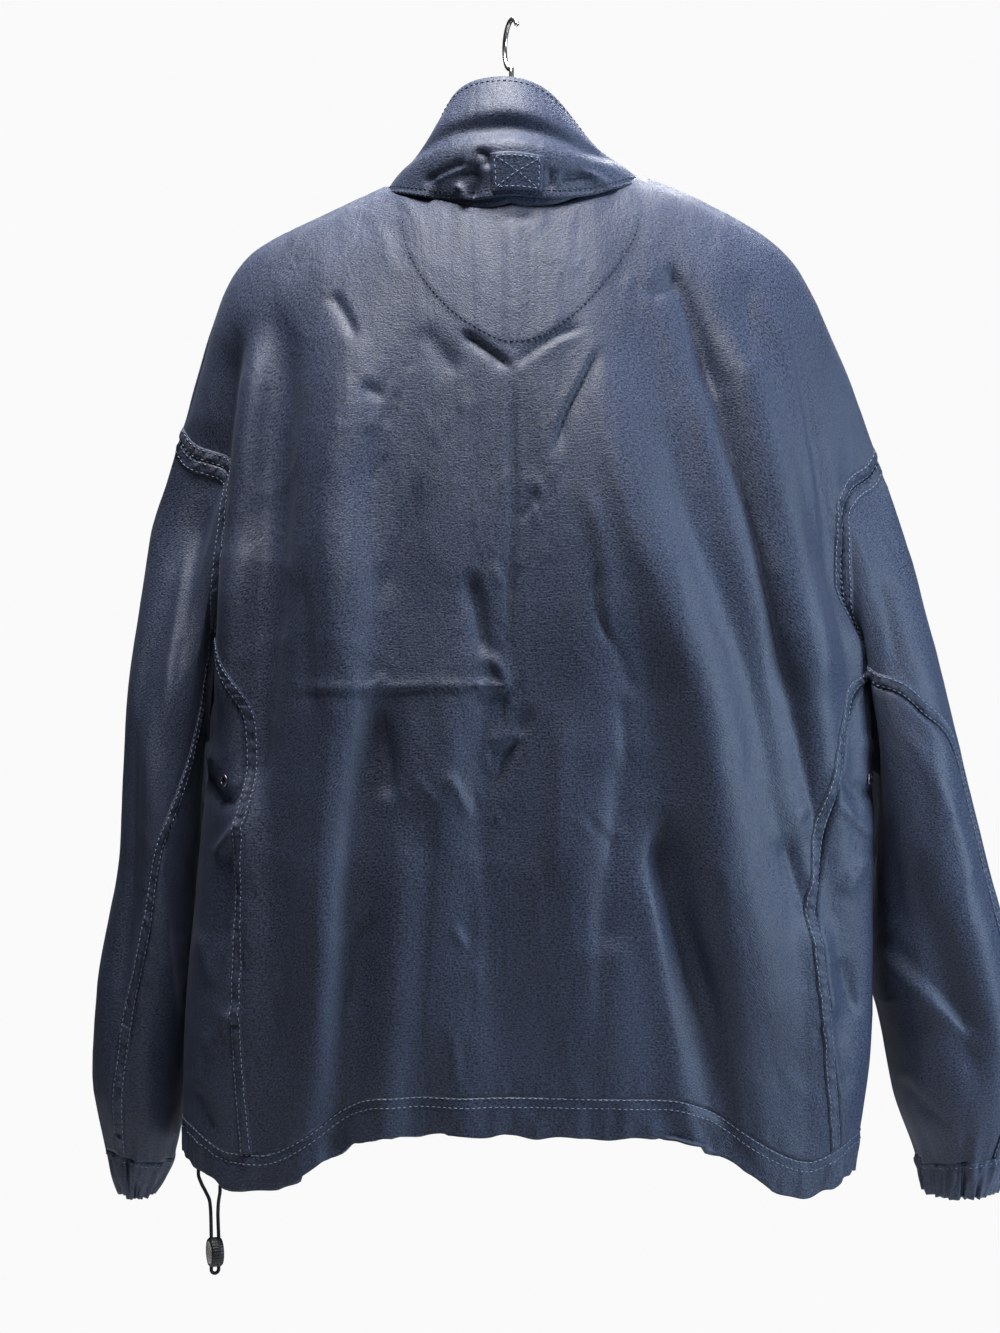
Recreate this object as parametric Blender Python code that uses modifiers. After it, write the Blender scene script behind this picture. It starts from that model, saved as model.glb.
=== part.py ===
"""Anorak of thin navy nylon on a hanger, in metres with +Z up.

The origin is the underside of the hook's crown. The back of the garment faces -Y and its
front +Y, so +X is on the right of someone who looks at the back. Every piece of cloth is a
wall between two grids of points, worked out from a few smooth tables of sections.
"""

import math

import bmesh
import bpy
import numpy as np

# Cloth and seams
CLOTH = 0.0012
CASING = 0.0024
SEAM_GAP = 0.0006

# Neck opening, as the half width on the shoulder ridge and how far down it reaches
NECK_HALF = 0.105
NECK_BACK = 0.09
NECK_FRONT = 0.13

# Armhole: its lowest seam point, the gusset's drop under the arm, and that point's angles
ARMHOLE_DOWN = 0.40
GUSSET_DROP = 0.13
GUSSET_TURN = math.radians(15)
GUSSET_SPREAD = math.radians(10)
CASING_TOP = 0.958

# Grid sizes
NECK_STEPS = (0, 0.3, 0.55, 0.75, 0.9, 1)
SHOULDER_COLUMNS = 10
ARMHOLE_ROWS = 8
ROWS_BELOW = (0.45, 0.51, 0.58, 0.65, 0.73, 0.81, 0.89, CASING_TOP)
GUSSET_COLUMNS = 8
SLEEVE_ROWS = (0, 0.05, 0.12, 0.2, 0.3, 0.4, 0.5, 0.6, 0.7, 0.8, 0.9, 1)
CUFF_END = 1.12
CUFF_SPLITS = 3

# Collar: its flap hangs past the neck seam and carries a tab
FLAP_CLEAR = 0.0013
FLAP_REACH_OUT = 1.13
FLAP_REACH_DOWN = 1.10
FLAP_ROWS = (0, 0.1, 0.22, 0.32, 0.40, 0.48, 0.59, 0.68, 0.77, 0.86, 1)
STAND_ROWS = (0, 0.33, 0.67, 1)
TAB_TURNS = (-0.140, -0.022, 0.096, 0.214)
TAB_ROWS = slice(6, 10)
FLAP_SIDE_TURNS = (0.31, 0.43, 0.56, 0.68, 0.82, 0.93, 1.0, 1.07, 1.2, 1.4, 1.6, 1.78, 1.915)

# Front zip
ZIP_SLIT = 0.0172
ZIP_TAPE_HALF = 0.011
ZIP_CHAIN_HALF = 0.0028
ZIP_CHAIN_RISE = 0.0016
ZIP_TAPE = 0.0010
ZIP_BEHIND = 0.0011
ROWS_PAST_CHAIN = 2
SLIDER_SIZE = (0.0080, 0.0056, 0.0110)
SLIDER_SLOT = (0.0048, 0.0026)
PULL_PIN = 0.0010
PULL_SIZE = (0.0040, 0.0012, 0.026)
PULL_EDGE = 0.0004
PULL_CLEAR = 0.0004
CHAIN_EDGE = 0.0002

# Drawcord and its lock
CORD = 0.0028
LOCK_CENTRE = (-0.2375, -0.0620, -1.0005)
LOCK_TURN = math.radians(20)
LOCK_RADIUS = 0.0118
LOCK_THICK = 0.0100
CORD_SPREAD = 0.0030
CORD_LEAD = (0.0018, 0.0050)
LOOP_DROP = 0.0016
LOCK_EDGE = 0.0010
CORD_POINTS = 12

# Eyelets
EYELET_RADIUS = 0.0045
EYELET_HOLE = 0.0021
EYELET_BARREL = 0.0026
EYELET_FLANGE = 0.0009
EYELET_RIM = 0.0004
EYELET_BACK = 0.8
EYELET_CUT = 0.012
EYELET_CELLS = {"left": (2, 0), "right": (1, 1)}

# Puckers of the hem and gathers of the cuffs, from a casing's top row to its edge
HEM_PUCKER = (0, 0.0013, 0.0009)
CUFF_GATHER = (0, 0.0013, 0.0010)

# Hanger
HOOK_WIRE = 0.0040
HOOK_RADIUS = 0.0200
HOOK_TURN = math.radians(106)
HOOK_ARC = (-90, 142)
HOOK_NECK = 0.004
BAR_THICK = 0.0130
BAR_HALF = 0.196
BAR_BELOW_RIDGE = 0.0108

NAVY = (0.035, 0.042, 0.075)
NAVY_DARK = (0.020, 0.024, 0.045)
BLACK = (0.012, 0.012, 0.014)
STEEL = (0.55, 0.56, 0.58)
BAR_GREY = (0.30, 0.30, 0.31)


class Table:
    """Rows of named columns; each column is a smooth curve over the first one."""

    def __init__(self, names, rows):
        values = np.array(rows, float)
        self.key = values[:, 0]
        self.columns = dict(zip(names.split(), values.T))

    def at(self, name, key):
        """A cubic through the column's points that never overshoots them."""
        xs, ys = self.key, self.columns[name]
        key = np.clip(np.asarray(key, float), xs[0], xs[-1])
        steps = np.diff(xs)
        slopes = np.diff(ys) / steps
        product = slopes[:-1] * slopes[1:]
        total = slopes[:-1] + slopes[1:]
        inner = np.where(product > 0, 2 * product / np.where(total == 0, 1, total), 0)
        tangents = np.concatenate([slopes[:1], inner, slopes[-1:]])
        i = np.clip(np.searchsorted(xs, key, side="right") - 1, 0, len(xs) - 2)
        width = steps[i]
        w = (key - xs[i]) / width
        start = (1 + 2 * w) * (1 - w) ** 2 * ys[i] + w * (1 - w) ** 2 * width * tangents[i]
        end = w**2 * (3 - 2 * w) * ys[i + 1] - w**2 * (1 - w) * width * tangents[i + 1]
        return start + end


def named_rows(names, rows):
    """Rows of numbers as records with named values."""
    return [dict(zip(names.split(), row)) for row in rows]


# The body from the shoulder ridge (0) to the hem (1): heights at the centre, how they fall
# towards the sides, half widths, the lean to the right, and the depths of back and front.
BODY = Table(
    "down centre_z slope fall dip half_width shift right_drop back_depth front_depth box",
    [
        (0.000, -0.090, 0.115, 0.140, 0.000, 0.288, 0.0140, 0.017, 0.000, 0.000, 2.00),
        (0.015, -0.102, 0.113, 0.136, 0.000, 0.286, 0.0142, 0.017, 0.026, 0.024, 2.00),
        (0.040, -0.122, 0.110, 0.130, 0.000, 0.282, 0.0145, 0.018, 0.045, 0.040, 2.05),
        (0.090, -0.162, 0.102, 0.118, 0.000, 0.273, 0.0150, 0.020, 0.068, 0.058, 2.10),
        (0.200, -0.260, 0.075, 0.095, 0.000, 0.262, 0.0170, 0.024, 0.095, 0.078, 2.20),
        (0.300, -0.350, 0.050, 0.070, 0.000, 0.259, 0.0190, 0.027, 0.107, 0.086, 2.35),
        (0.400, -0.440, 0.030, 0.035, 0.000, 0.269, 0.0220, 0.030, 0.115, 0.090, 2.50),
        (0.520, -0.537, 0.018, 0.010, 0.035, 0.272, 0.0230, 0.024, 0.118, 0.093, 2.60),
        (0.700, -0.675, 0.006, 0.000, 0.056, 0.278, 0.0180, 0.012, 0.120, 0.095, 2.70),
        (0.850, -0.787, 0.002, 0.000, 0.052, 0.282, 0.0140, 0.011, 0.115, 0.093, 2.75),
        (1.000, -0.900, 0.000, 0.000, 0.047, 0.276, 0.0060, 0.012, 0.108, 0.090, 2.80),
    ],
)

# What is added to the shoulder ridge's height on either side, over the share of the way out;
# it fades down to RIDGE_FADE
RIDGE = Table(
    "share left right",
    [
        (0.00, 0.0000, 0.0000),
        (0.25, -0.0020, 0.0040),
        (0.45, -0.0050, 0.0085),
        (0.64, -0.0056, 0.0060),
        (0.72, -0.0036, 0.0045),
        (0.78, -0.0020, 0.0010),
        (0.82, -0.0030, -0.0070),
        (0.86, -0.0075, -0.0155),
        (0.90, -0.0145, -0.0205),
        (0.94, -0.0190, -0.0205),
        (0.97, -0.0165, -0.0140),
        (1.00, 0.0000, 0.0000),
    ],
)
RIDGE_FADE = 0.26

# Angle in degrees from the centre of a back or front panel to its outer edge, on either
# side of the garment: the armhole above, the side seam below. The guide holds the columns.
EDGE = Table(
    "down left right guide",
    [
        (0.00, 90.0, 90.0, 90.0),
        (0.05, 82.0, 82.0, 80.0),
        (0.12, 74.0, 74.0, 75.0),
        (0.20, 69.5, 69.5, 71.0),
        (0.30, 70.0, 70.0, 67.5),
        (0.40, 80.0, 80.0, 64.0),
        (0.45, 63.0, 67.0, 62.0),
        (0.51, 53.0, 59.0, 60.0),
        (0.68, 51.0, 50.0, 56.0),
        (0.85, 48.0, 53.0, 54.0),
        (1.00, 45.0, 60.0, 53.0),
    ],
)

# The largest folds, as lines seen from behind or before: ridges rise and troughs sink.
FOLD_NAMES = "x_top z_top x_bottom z_bottom bow height half_width"
BACK_FOLDS = named_rows(FOLD_NAMES, [
    (-0.226, -0.235, -0.256, -0.580, -0.006, -0.016, 0.016),
    (-0.203, -0.250, -0.236, -0.580, -0.004, 0.008, 0.018),
    (-0.188, -0.220, -0.216, -0.660, 0.010, -0.010, 0.015),
    (-0.130, -0.260, -0.166, -0.950, 0.022, 0.006, 0.024),
    (-0.100, -0.540, -0.146, -0.950, 0.004, -0.008, 0.019),
    (-0.084, -0.640, -0.110, -0.950, 0.002, 0.005, 0.017),
    (-0.060, -0.620, -0.074, -0.950, -0.002, -0.006, 0.020),
    (-0.032, -0.740, -0.038, -0.950, 0.000, 0.004, 0.016),
    (0.088, -0.280, 0.222, -0.860, 0.002, 0.007, 0.030),
    (0.132, -0.205, 0.282, -0.860, 0.012, -0.012, 0.015),
    (0.176, -0.250, 0.250, -0.560, 0.006, 0.008, 0.020),
    (0.086, -0.590, 0.072, -0.760, 0.000, -0.005, 0.020),
    (0.122, -0.640, 0.180, -0.950, -0.004, -0.009, 0.018),
    (0.106, -0.680, 0.146, -0.950, 0.002, 0.005, 0.015),
])
FRONT_FOLDS = named_rows(FOLD_NAMES, [
    (-0.205, -0.240, -0.236, -0.620, -0.006, -0.010, 0.018),
    (-0.165, -0.320, -0.190, -0.950, 0.012, 0.007, 0.026),
    (-0.110, -0.520, -0.128, -0.950, 0.004, -0.008, 0.020),
    (-0.066, -0.560, -0.072, -0.950, 0.000, 0.006, 0.020),
    (0.070, -0.540, 0.090, -0.950, 0.000, -0.008, 0.022),
    (0.130, -0.340, 0.176, -0.950, 0.006, 0.007, 0.026),
    (0.196, -0.240, 0.248, -0.640, 0.008, -0.010, 0.018),
])

# Sleeves from the armhole (0) past the wrist (1) to the cuff's end: the outer and inner
# lines seen from behind, measured outwards from the centre plane, the half depth, and how far
# the sleeve hangs forward.
SLEEVE_NAMES = "along outer_x outer_z inner_x inner_z depth forward"
SLEEVES = {
    "left": Table(
        SLEEVE_NAMES,
        [
            (0.00, 0.2740, -0.345, 0.2500, -0.594, 0.080, 0.000),
            (0.06, 0.2850, -0.376, 0.2590, -0.604, 0.084, 0.012),
            (0.15, 0.3015, -0.428, 0.2590, -0.645, 0.088, 0.028),
            (0.35, 0.3170, -0.560, 0.2625, -0.715, 0.094, 0.040),
            (0.55, 0.3215, -0.680, 0.2660, -0.775, 0.090, 0.040),
            (0.75, 0.3425, -0.800, 0.2700, -0.840, 0.082, 0.040),
            (0.90, 0.3485, -0.870, 0.2750, -0.893, 0.074, 0.038),
            (1.00, 0.3385, -0.928, 0.2850, -0.942, 0.056, 0.036),
            (CUFF_END, 0.3260, -0.967, 0.3000, -0.972, 0.044, 0.036),
        ],
    ),
    "right": Table(
        SLEEVE_NAMES,
        [
            (0.00, 0.3020, -0.362, 0.2960, -0.618, 0.082, 0.000),
            (0.06, 0.3145, -0.392, 0.3085, -0.628, 0.086, 0.004),
            (0.15, 0.3315, -0.440, 0.3070, -0.668, 0.090, 0.018),
            (0.35, 0.3630, -0.560, 0.3020, -0.735, 0.092, 0.040),
            (0.55, 0.3940, -0.680, 0.3040, -0.790, 0.088, 0.040),
            (0.75, 0.4225, -0.800, 0.3155, -0.845, 0.078, 0.040),
            (0.90, 0.4295, -0.875, 0.3260, -0.900, 0.068, 0.038),
            (1.00, 0.4140, -0.932, 0.3420, -0.945, 0.052, 0.036),
            (CUFF_END, 0.4060, -0.970, 0.3470, -0.972, 0.040, 0.036),
        ],
    ),
}
SLEEVE_BOX = 2.3
LOOP_FADE = 0.34
SIDES = {"left": -1, "right": 1}

# Where the seams between over-sleeve and under-sleeve run, in degrees from the outer line
SLEEVE_SEAMS = {
    "left": Table(
        "along back front",
        [(0, 165, 165), (0.2, 135, 145), (0.45, 104, 125), (0.75, 90, 118), (CUFF_END, 80, 115)],
    ),
    "right": Table(
        "along back front",
        [(0, 165, 165), (0.12, 122, 150), (0.25, 76, 138), (0.42, 45, 126), (0.65, 44, 120),
         (CUFF_END, 72, 115)],
    ),
}

# Sleeve folds: the angle where each starts and ends, the stretch it covers and its size
SLEEVE_FOLD_NAMES = "turn_start turn_end start end height half_turn"
SLEEVE_FOLDS = {
    "left": named_rows(SLEEVE_FOLD_NAMES, [
        (52, 72, 0.10, 0.80, -0.009, 14),
        (22, 44, 0.20, 0.95, 0.006, 16),
        (-60, -84, 0.15, 0.90, -0.008, 18),
        (-110, -96, 0.30, 0.95, 0.006, 18),
    ]),
    "right": named_rows(SLEEVE_FOLD_NAMES, [
        (118, 84, 0.30, 0.92, -0.008, 15),
        (62, 70, 0.20, 0.95, 0.006, 18),
        (-60, -84, 0.15, 0.90, -0.008, 18),
        (-110, -96, 0.30, 0.95, 0.006, 18),
    ]),
}

# The collar's top edge round the neck: 0 at the centre back, 1 at the sides, 2 in front
COLLAR_TOP = Table(
    "turn left_z right_z left_x right_x depth",
    [
        (0.0, -0.0575, -0.0575, 0.062, 0.062, 0.052),
        (0.25, -0.0585, -0.0645, 0.062, 0.062, 0.052),
        (0.5, -0.0660, -0.0830, 0.062, 0.062, 0.052),
        (0.75, -0.0895, -0.1010, 0.061, 0.063, 0.052),
        (1.0, -0.1130, -0.1130, 0.060, 0.064, 0.052),
        (1.5, -0.126, -0.126, 0.058, 0.062, 0.050),
        (2.0, -0.132, -0.132, 0.058, 0.058, 0.050),
    ],
)
FLAP = Table(
    "turn lift bulge crease",
    [
        (0.0, 0.0095, 0.0120, 0.0120),
        (0.5, 0.0070, 0.0100, 0.0060),
        (1.0, 0.0030, 0.0080, 0.0000),
        (2.0, 0.0040, 0.0060, 0.0000),
    ],
)
CREASE_AT = 0.40
CREASE_HALF = 0.085
STAND_BULGE = 0.002

# The drawcord's two strands: where each leaves the hem's lower edge, in degrees round the
# body, and the places it passes on its way to the lock
CORD_EXITS = {"left": -60.0, "right": -51.5}
CORD_ROUTES = {
    "left": [
        (-0.2488, -0.0592, -0.9460),
        (-0.2450, -0.0602, -0.9530),
        (-0.2418, -0.0615, -0.9600),
        (-0.2408, -0.0625, -0.9700),
    ],
    "right": [
        (-0.2332, -0.0705, -0.9550),
        (-0.2345, -0.0660, -0.9630),
        (-0.2350, -0.0630, -0.9720),
    ],
}


def rise(low, high, value):
    """0 below low, 1 above high, and an S-curve between them."""
    w = np.clip((value - low) / (high - low), 0, 1)
    return w * w * (3 - 2 * w)


def unit(vectors):
    length = np.linalg.norm(vectors, axis=-1, keepdims=True)
    return vectors / np.maximum(length, 1e-12)


def dot(a, b):
    return np.sum(a * b, axis=-1, keepdims=True)


def normals_of(surface, across, down, step=2e-4):
    """Outward unit normals of surface(across, down); across runs to the right, seen from outside."""
    along = surface(across + step, down) - surface(across - step, down)
    fall = surface(across, down + step) - surface(across, down - step)
    return unit(np.cross(fall, along))


def fold_height(folds, x, z):
    """The sum of soft ridges and troughs along bowed lines in the x-z plane."""
    total = np.zeros_like(x)
    for fold in folds:
        w = (fold["z_top"] - z) / (fold["z_top"] - fold["z_bottom"])
        line = fold["x_top"] + (fold["x_bottom"] - fold["x_top"]) * w + 4 * fold["bow"] * w * (1 - w)
        ends = rise(0, 0.18, w) * rise(0, 0.12, 1 - w)
        total += fold["height"] * ends * np.exp(-(((x - line) / fold["half_width"]) ** 2))
    return total


def body_form(angle, down):
    """Boxed ellipses round the body; the angle is 0 at the centre back and 90 degrees at the right."""
    angle, down = np.broadcast_arrays(np.asarray(angle, float), np.asarray(down, float))
    sine, cosine = np.sin(angle), np.cos(angle)
    box = BODY.at("box", down)
    reach = (np.abs(sine) ** box + np.abs(cosine) ** box) ** (-1 / box)
    u = np.abs(reach * sine)
    depth = np.where(cosine > 0, BODY.at("back_depth", down), BODY.at("front_depth", down))
    x = BODY.at("half_width", down) * reach * sine + BODY.at("shift", down) * u**2
    y = -depth * reach * cosine
    sag = np.where(sine > 0, rise(0.44, 0.84, u), rise(0.37, 0.74, u)) - 0.4 * rise(0.82, 1.0, u)
    z = BODY.at("centre_z", down) - BODY.at("slope", down) * u - BODY.at("fall", down) * u**10
    z = z - BODY.at("dip", down) * sag - BODY.at("right_drop", down) * np.where(sine > 0, u**2, 0)
    ridge = np.where(sine > 0, RIDGE.at("right", u), RIDGE.at("left", u))
    z = z + ridge * (1 - rise(0, RIDGE_FADE, down))
    return np.stack([x, y, z], axis=-1)


def body(angle, down):
    """The body's form with its largest folds, which fade at the ridge and at the sides."""
    angle, down = np.broadcast_arrays(np.asarray(angle, float), np.asarray(down, float))
    place = body_form(angle, down)
    x, z = place[..., 0], place[..., 2]
    cosine = np.cos(angle)
    height = np.where(cosine > 0, fold_height(BACK_FOLDS, x, z), fold_height(FRONT_FOLDS, x, z))
    height = height * rise(0.02, 0.30, np.abs(cosine)) * rise(0, 0.12, down)
    return place + height[..., None] * normals_of(body_form, angle, down)


def panel_angle(share, down):
    """The angle of a column that lies at a share of the way from the centre back to the panel's edge."""
    edge = np.where(share < 0, EDGE.at("left", down), EDGE.at("right", down))
    guide = EDGE.at("guide", down)
    return np.radians(guide * share + (edge - guide) * share**5)


def front_angle(share, down):
    """The same on the front, where the shares still run from left to right seen from behind."""
    return np.sign(share) * math.pi - panel_angle(share, down)


NECK_SHARE = math.asin(NECK_HALF / BODY.columns["half_width"][0]) / (math.pi / 2)


def neck_place(turn, out=1.0, lower=1.0):
    """Angle and height on the body of the neck seam, from 0 at the centre back to 2 in front."""
    turn = np.asarray(turn, float)
    away = np.where(np.abs(turn) <= 1, np.abs(turn), 2 - np.abs(turn))
    share = np.sign(turn) * away * NECK_SHARE * out
    deep = np.where(np.abs(turn) <= 1, NECK_BACK, NECK_FRONT) * lower
    down = deep * (1 - away**2)
    behind = panel_angle(share, down)
    return np.where(np.abs(turn) <= 1, behind, np.sign(turn) * math.pi - behind), down


def outward(turn):
    """The level direction out from the neck's axis."""
    angle = np.asarray(turn, float) * math.pi / 2
    return np.stack([np.sin(angle), -np.cos(angle), np.zeros_like(angle)], axis=-1)


def collar_top(turn):
    turn = np.asarray(turn, float)
    away = np.abs(turn)
    across = np.where(turn < 0, COLLAR_TOP.at("left_x", away), COLLAR_TOP.at("right_x", away))
    height = np.where(turn < 0, COLLAR_TOP.at("left_z", away), COLLAR_TOP.at("right_z", away))
    level = outward(turn)
    deep = COLLAR_TOP.at("depth", away)
    return np.stack([level[..., 0] * across, level[..., 1] * deep, height], axis=-1)


def stand(turn, down):
    """The collar's standing wall: straight from the neck seam to the top edge, with a slight bulge."""
    turn, down = np.broadcast_arrays(np.asarray(turn, float), np.asarray(down, float))
    angle, depth = neck_place(turn)
    d = down[..., None]
    bulge = STAND_BULGE * np.sin(math.pi * np.clip(d, 0, 1))
    return collar_top(turn) * (1 - d) + body(angle, depth) * d + bulge * outward(turn)


def flap(turn, down):
    """The outer leaf from the collar's top to its free edge, which lies over the neck seam."""
    turn, down = np.broadcast_arrays(np.asarray(turn, float), np.asarray(down, float))
    away = np.abs(turn)
    angle, depth = neck_place(turn, FLAP_REACH_OUT, FLAP_REACH_DOWN)
    lift = FLAP.at("lift", away)[..., None]
    edge = body(angle, depth) + lift * normals_of(body, angle, np.maximum(depth, 1e-3))
    top = collar_top(turn) + (FLAP_CLEAR + CLOTH) * normals_of(stand, turn, np.full_like(turn, 2e-3))
    d = down[..., None]
    wave = FLAP.at("bulge", away) * np.sin(math.pi * np.clip(down, 0, 1))
    wave = wave - FLAP.at("crease", away) * np.exp(-(((down - CREASE_AT) / CREASE_HALF) ** 2))
    return top * (1 - d) + edge * d + wave[..., None] * outward(turn)


def armhole(side, turn):
    """The armhole's loop on the body; its turn is 0 on the shoulder, + behind, pi under the arm."""
    turn = np.asarray(turn, float)
    size = np.abs(turn)
    corner = math.pi - GUSSET_TURN
    down = ARMHOLE_DOWN * (1 - np.cos(np.minimum(size, corner))) / (1 - math.cos(corner))
    left = np.clip((math.pi - size) / GUSSET_TURN, 0, 1)
    under = size > corner
    down = np.where(under, ARMHOLE_DOWN + GUSSET_DROP * (1 - left**2), down)
    edge = np.radians(EDGE.at(side, down))
    angle = np.where(under, math.pi / 2 - GUSSET_SPREAD * left, edge)
    angle = np.where(turn < 0, math.pi - angle, angle)
    return SIDES[side] * angle, down


def sleeve_ring(side, turn, along):
    table = SLEEVES[side]
    box = SLEEVE_BOX
    reach = (np.abs(np.sin(turn)) ** box + np.abs(np.cos(turn)) ** box) ** (-1 / box)
    outer_x, outer_z = table.at("outer_x", along), table.at("outer_z", along)
    inner_x, inner_z = table.at("inner_x", along), table.at("inner_z", along)
    share = (1 + reach * np.cos(turn)) / 2
    x = SIDES[side] * (inner_x + (outer_x - inner_x) * share)
    z = inner_z + (outer_z - inner_z) * share
    y = table.at("forward", along) - table.at("depth", along) * reach * np.sin(turn)
    return np.stack([x, y, z], axis=-1)


def sleeve(side, turn, along):
    """Boxed ellipses down the sleeve, drawn to the armhole's loop at its head, with its folds."""
    turn, along = np.broadcast_arrays(np.asarray(turn, float), np.asarray(along, float))
    wrapped = (turn + math.pi) % (2 * math.pi) - math.pi
    angle, down = armhole(side, wrapped)
    drawn = body(angle, down) - sleeve_ring(side, turn, np.zeros_like(along))
    fade = 1 - rise(0, LOOP_FADE, along)
    place = sleeve_ring(side, turn, along) + fade[..., None] * drawn
    axis = 0.5 * (sleeve_ring(side, 0.0, along) + sleeve_ring(side, math.pi, along))
    height = np.zeros_like(turn)
    for fold in SLEEVE_FOLDS[side]:
        w = (along - fold["start"]) / (fold["end"] - fold["start"])
        line = np.radians(fold["turn_start"] + (fold["turn_end"] - fold["turn_start"]) * w)
        away = (turn - line + math.pi) % (2 * math.pi) - math.pi
        ends = rise(0, 0.25, w) * rise(0, 0.25, 1 - w)
        spread = np.exp(-((away / math.radians(fold["half_turn"])) ** 2))
        height = height + fold["height"] * ends * spread
    return place + height[..., None] * unit(place - axis)


def part_seam(points, into_a, normal_a, into_b, normal_b):
    """Parts two pieces at a seam: outer and inner edge of each, mitred where the cloth bends away."""
    across = unit(into_b - into_a)
    middle = unit(normal_a + normal_b)
    bends_away = dot(into_a + into_b, middle) < 0
    mitre = middle * np.clip(1 / np.maximum(dot(middle, normal_a), 1e-6), 1, 1.5)
    edges = []
    for sign, normal in ((-1, normal_a), (1, normal_b)):
        outer = points + sign * SEAM_GAP / 2 * across
        edges.append((outer, outer - CLOTH * np.where(bends_away, mitre, normal)))
    return edges


def armhole_edges(side, turns):
    """The body's and the sleeve's edges at the armhole, for each turn round it."""
    turns = np.asarray(turns, float)
    sign = SIDES[side]
    angle, down = armhole(side, turns)
    points = body(angle, down)
    body_normal = normals_of(body, angle, np.maximum(down, 1e-3))
    step = 1e-3
    tangent = unit(body(*armhole(side, turns + step)) - body(*armhole(side, turns - step)))
    under = (np.abs(turns) > math.pi - GUSSET_TURN + step)[:, None]
    to_middle = np.where(turns < 0, 1, -1) * sign * step
    into_body = np.where(under, body(angle, down + step), body(angle + to_middle, down)) - points
    into_body = unit(into_body - dot(into_body, tangent) * tangent)
    fall = sleeve(side, turns, np.full_like(turns, 0.02)) - points
    into_sleeve = unit(fall - dot(fall, tangent) * tangent)
    sleeve_normal = np.cross(tangent, into_sleeve)
    axis = 0.5 * (sleeve_ring(side, 0.0, 0.02) + sleeve_ring(side, math.pi, 0.02))
    sleeve_normal = unit(sleeve_normal * np.sign(dot(sleeve_normal, points - axis)))
    return part_seam(points, into_body, body_normal, into_sleeve, sleeve_normal)


EDGE_LINES = {
    "top": (np.s_[0], np.s_[1]),
    "bottom": (np.s_[-1], np.s_[-2]),
    "left": (np.s_[:, 0], np.s_[:, 1]),
    "right": (np.s_[:, -1], np.s_[:, -2]),
}


def draw_back(outer, inner, *names):
    """Draws edges of a wall straight back from the seam by half its gap, both faces alike."""
    for name in names:
        line, beside = EDGE_LINES[name]
        run = unit(np.gradient(outer[line], axis=0))
        step = outer[beside] - outer[line]
        move = SEAM_GAP / 2 * unit(step - dot(step, run) * run)
        outer[line] += move
        inner[line] += move


def finish(obj, colour, roughness, metallic=0.0, smooth=True):
    """Gives an object its own material, smooth shading and its place in the collection."""
    material = bpy.data.materials.new(obj.name)
    material.use_nodes = True
    shader = material.node_tree.nodes["Principled BSDF"]
    shader.inputs["Base Color"].default_value = (*colour, 1)
    shader.inputs["Roughness"].default_value = roughness
    shader.inputs["Metallic"].default_value = metallic
    obj.data.materials.append(material)
    if smooth and obj.type == "MESH":
        obj.data.shade_smooth()
        obj.data.set_sharp_from_angle(angle=math.radians(50))
    for collection in list(obj.users_collection):
        collection.objects.unlink(obj)
    bpy.data.collections["anorak"].objects.link(obj)
    return obj


def wall(name, outer, inner, closed=False, left_out=()):
    """A wall of cloth lofted between two grids of points, with a rim round every open edge.

    A closed wall joins its last column to its first, and the cells left out make a slit. Each cell is
    cut along the same diagonal on both faces, the shorter of the two, so that the faces never cross.
    """
    rows, columns = outer.shape[:2]
    count = rows * columns
    cells = []
    for r in range(rows - 1):
        for c in range(columns if closed else columns - 1):
            if (r, c) not in left_out:
                here, below = r * columns, (r + 1) * columns
                d = (c + 1) % columns
                cells.append((here + c, below + c, below + d, here + d))
    edges = {}
    for cell in cells:
        for a, b in zip(cell, cell[1:] + cell[:1]):
            edges[a, b] = True
    rim = [(b, a, a + count, b + count) for a, b in edges if (b, a) not in edges]
    points = np.concatenate([outer.reshape(-1, 3), inner.reshape(-1, 3)])

    def spans(i, j):
        return np.linalg.norm(points[[i, i + count]] - points[[j, j + count]], axis=1).sum()

    halves = []
    for a, b, c, d in cells:
        halves += [(a, b, c), (a, c, d)] if spans(a, c) <= spans(b, d) else [(a, b, d), (b, c, d)]
    faces = halves + [tuple(i + count for i in reversed(half)) for half in halves] + rim
    mesh = bpy.data.meshes.new(name)
    mesh.from_pydata(points.tolist(), [], faces)
    model = bmesh.new()
    model.from_mesh(mesh)
    loose = [v for v in model.verts if not v.link_faces]
    bmesh.ops.delete(model, geom=loose, context="VERTS")
    bmesh.ops.recalc_face_normals(model, faces=model.faces)
    model.to_mesh(mesh)
    model.free()
    obj = bpy.data.objects.new(name, mesh)
    bpy.context.scene.collection.objects.link(obj)
    return obj


def tube(name, points, thick, resolution=2):
    """A round cord, wire or bar along points, with flat ends."""
    curve = bpy.data.curves.new(name, "CURVE")
    curve.dimensions = "3D"
    curve.bevel_depth = thick / 2
    curve.bevel_resolution = resolution
    curve.use_fill_caps = True
    spline = curve.splines.new("POLY")
    spline.points.add(len(points) - 1)
    for place, point in zip(spline.points, points):
        place.co = (*point, 1)
    obj = bpy.data.objects.new(name, curve)
    bpy.context.scene.collection.objects.link(obj)
    return obj


def turned(name, profile, steps):
    """A profile of (radius, height) points turned round the object's own Z axis."""
    mesh = bpy.data.meshes.new(name)
    mesh.from_pydata([(r, 0, h) for r, h in profile], [(i, i + 1) for i in range(len(profile) - 1)], [])
    obj = bpy.data.objects.new(name, mesh)
    screw = obj.modifiers.new("turn", "SCREW")
    screw.steps = screw.render_steps = steps
    screw.use_merge_vertices = True
    screw.merge_threshold = 1e-5
    bpy.context.scene.collection.objects.link(obj)
    return obj


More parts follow.
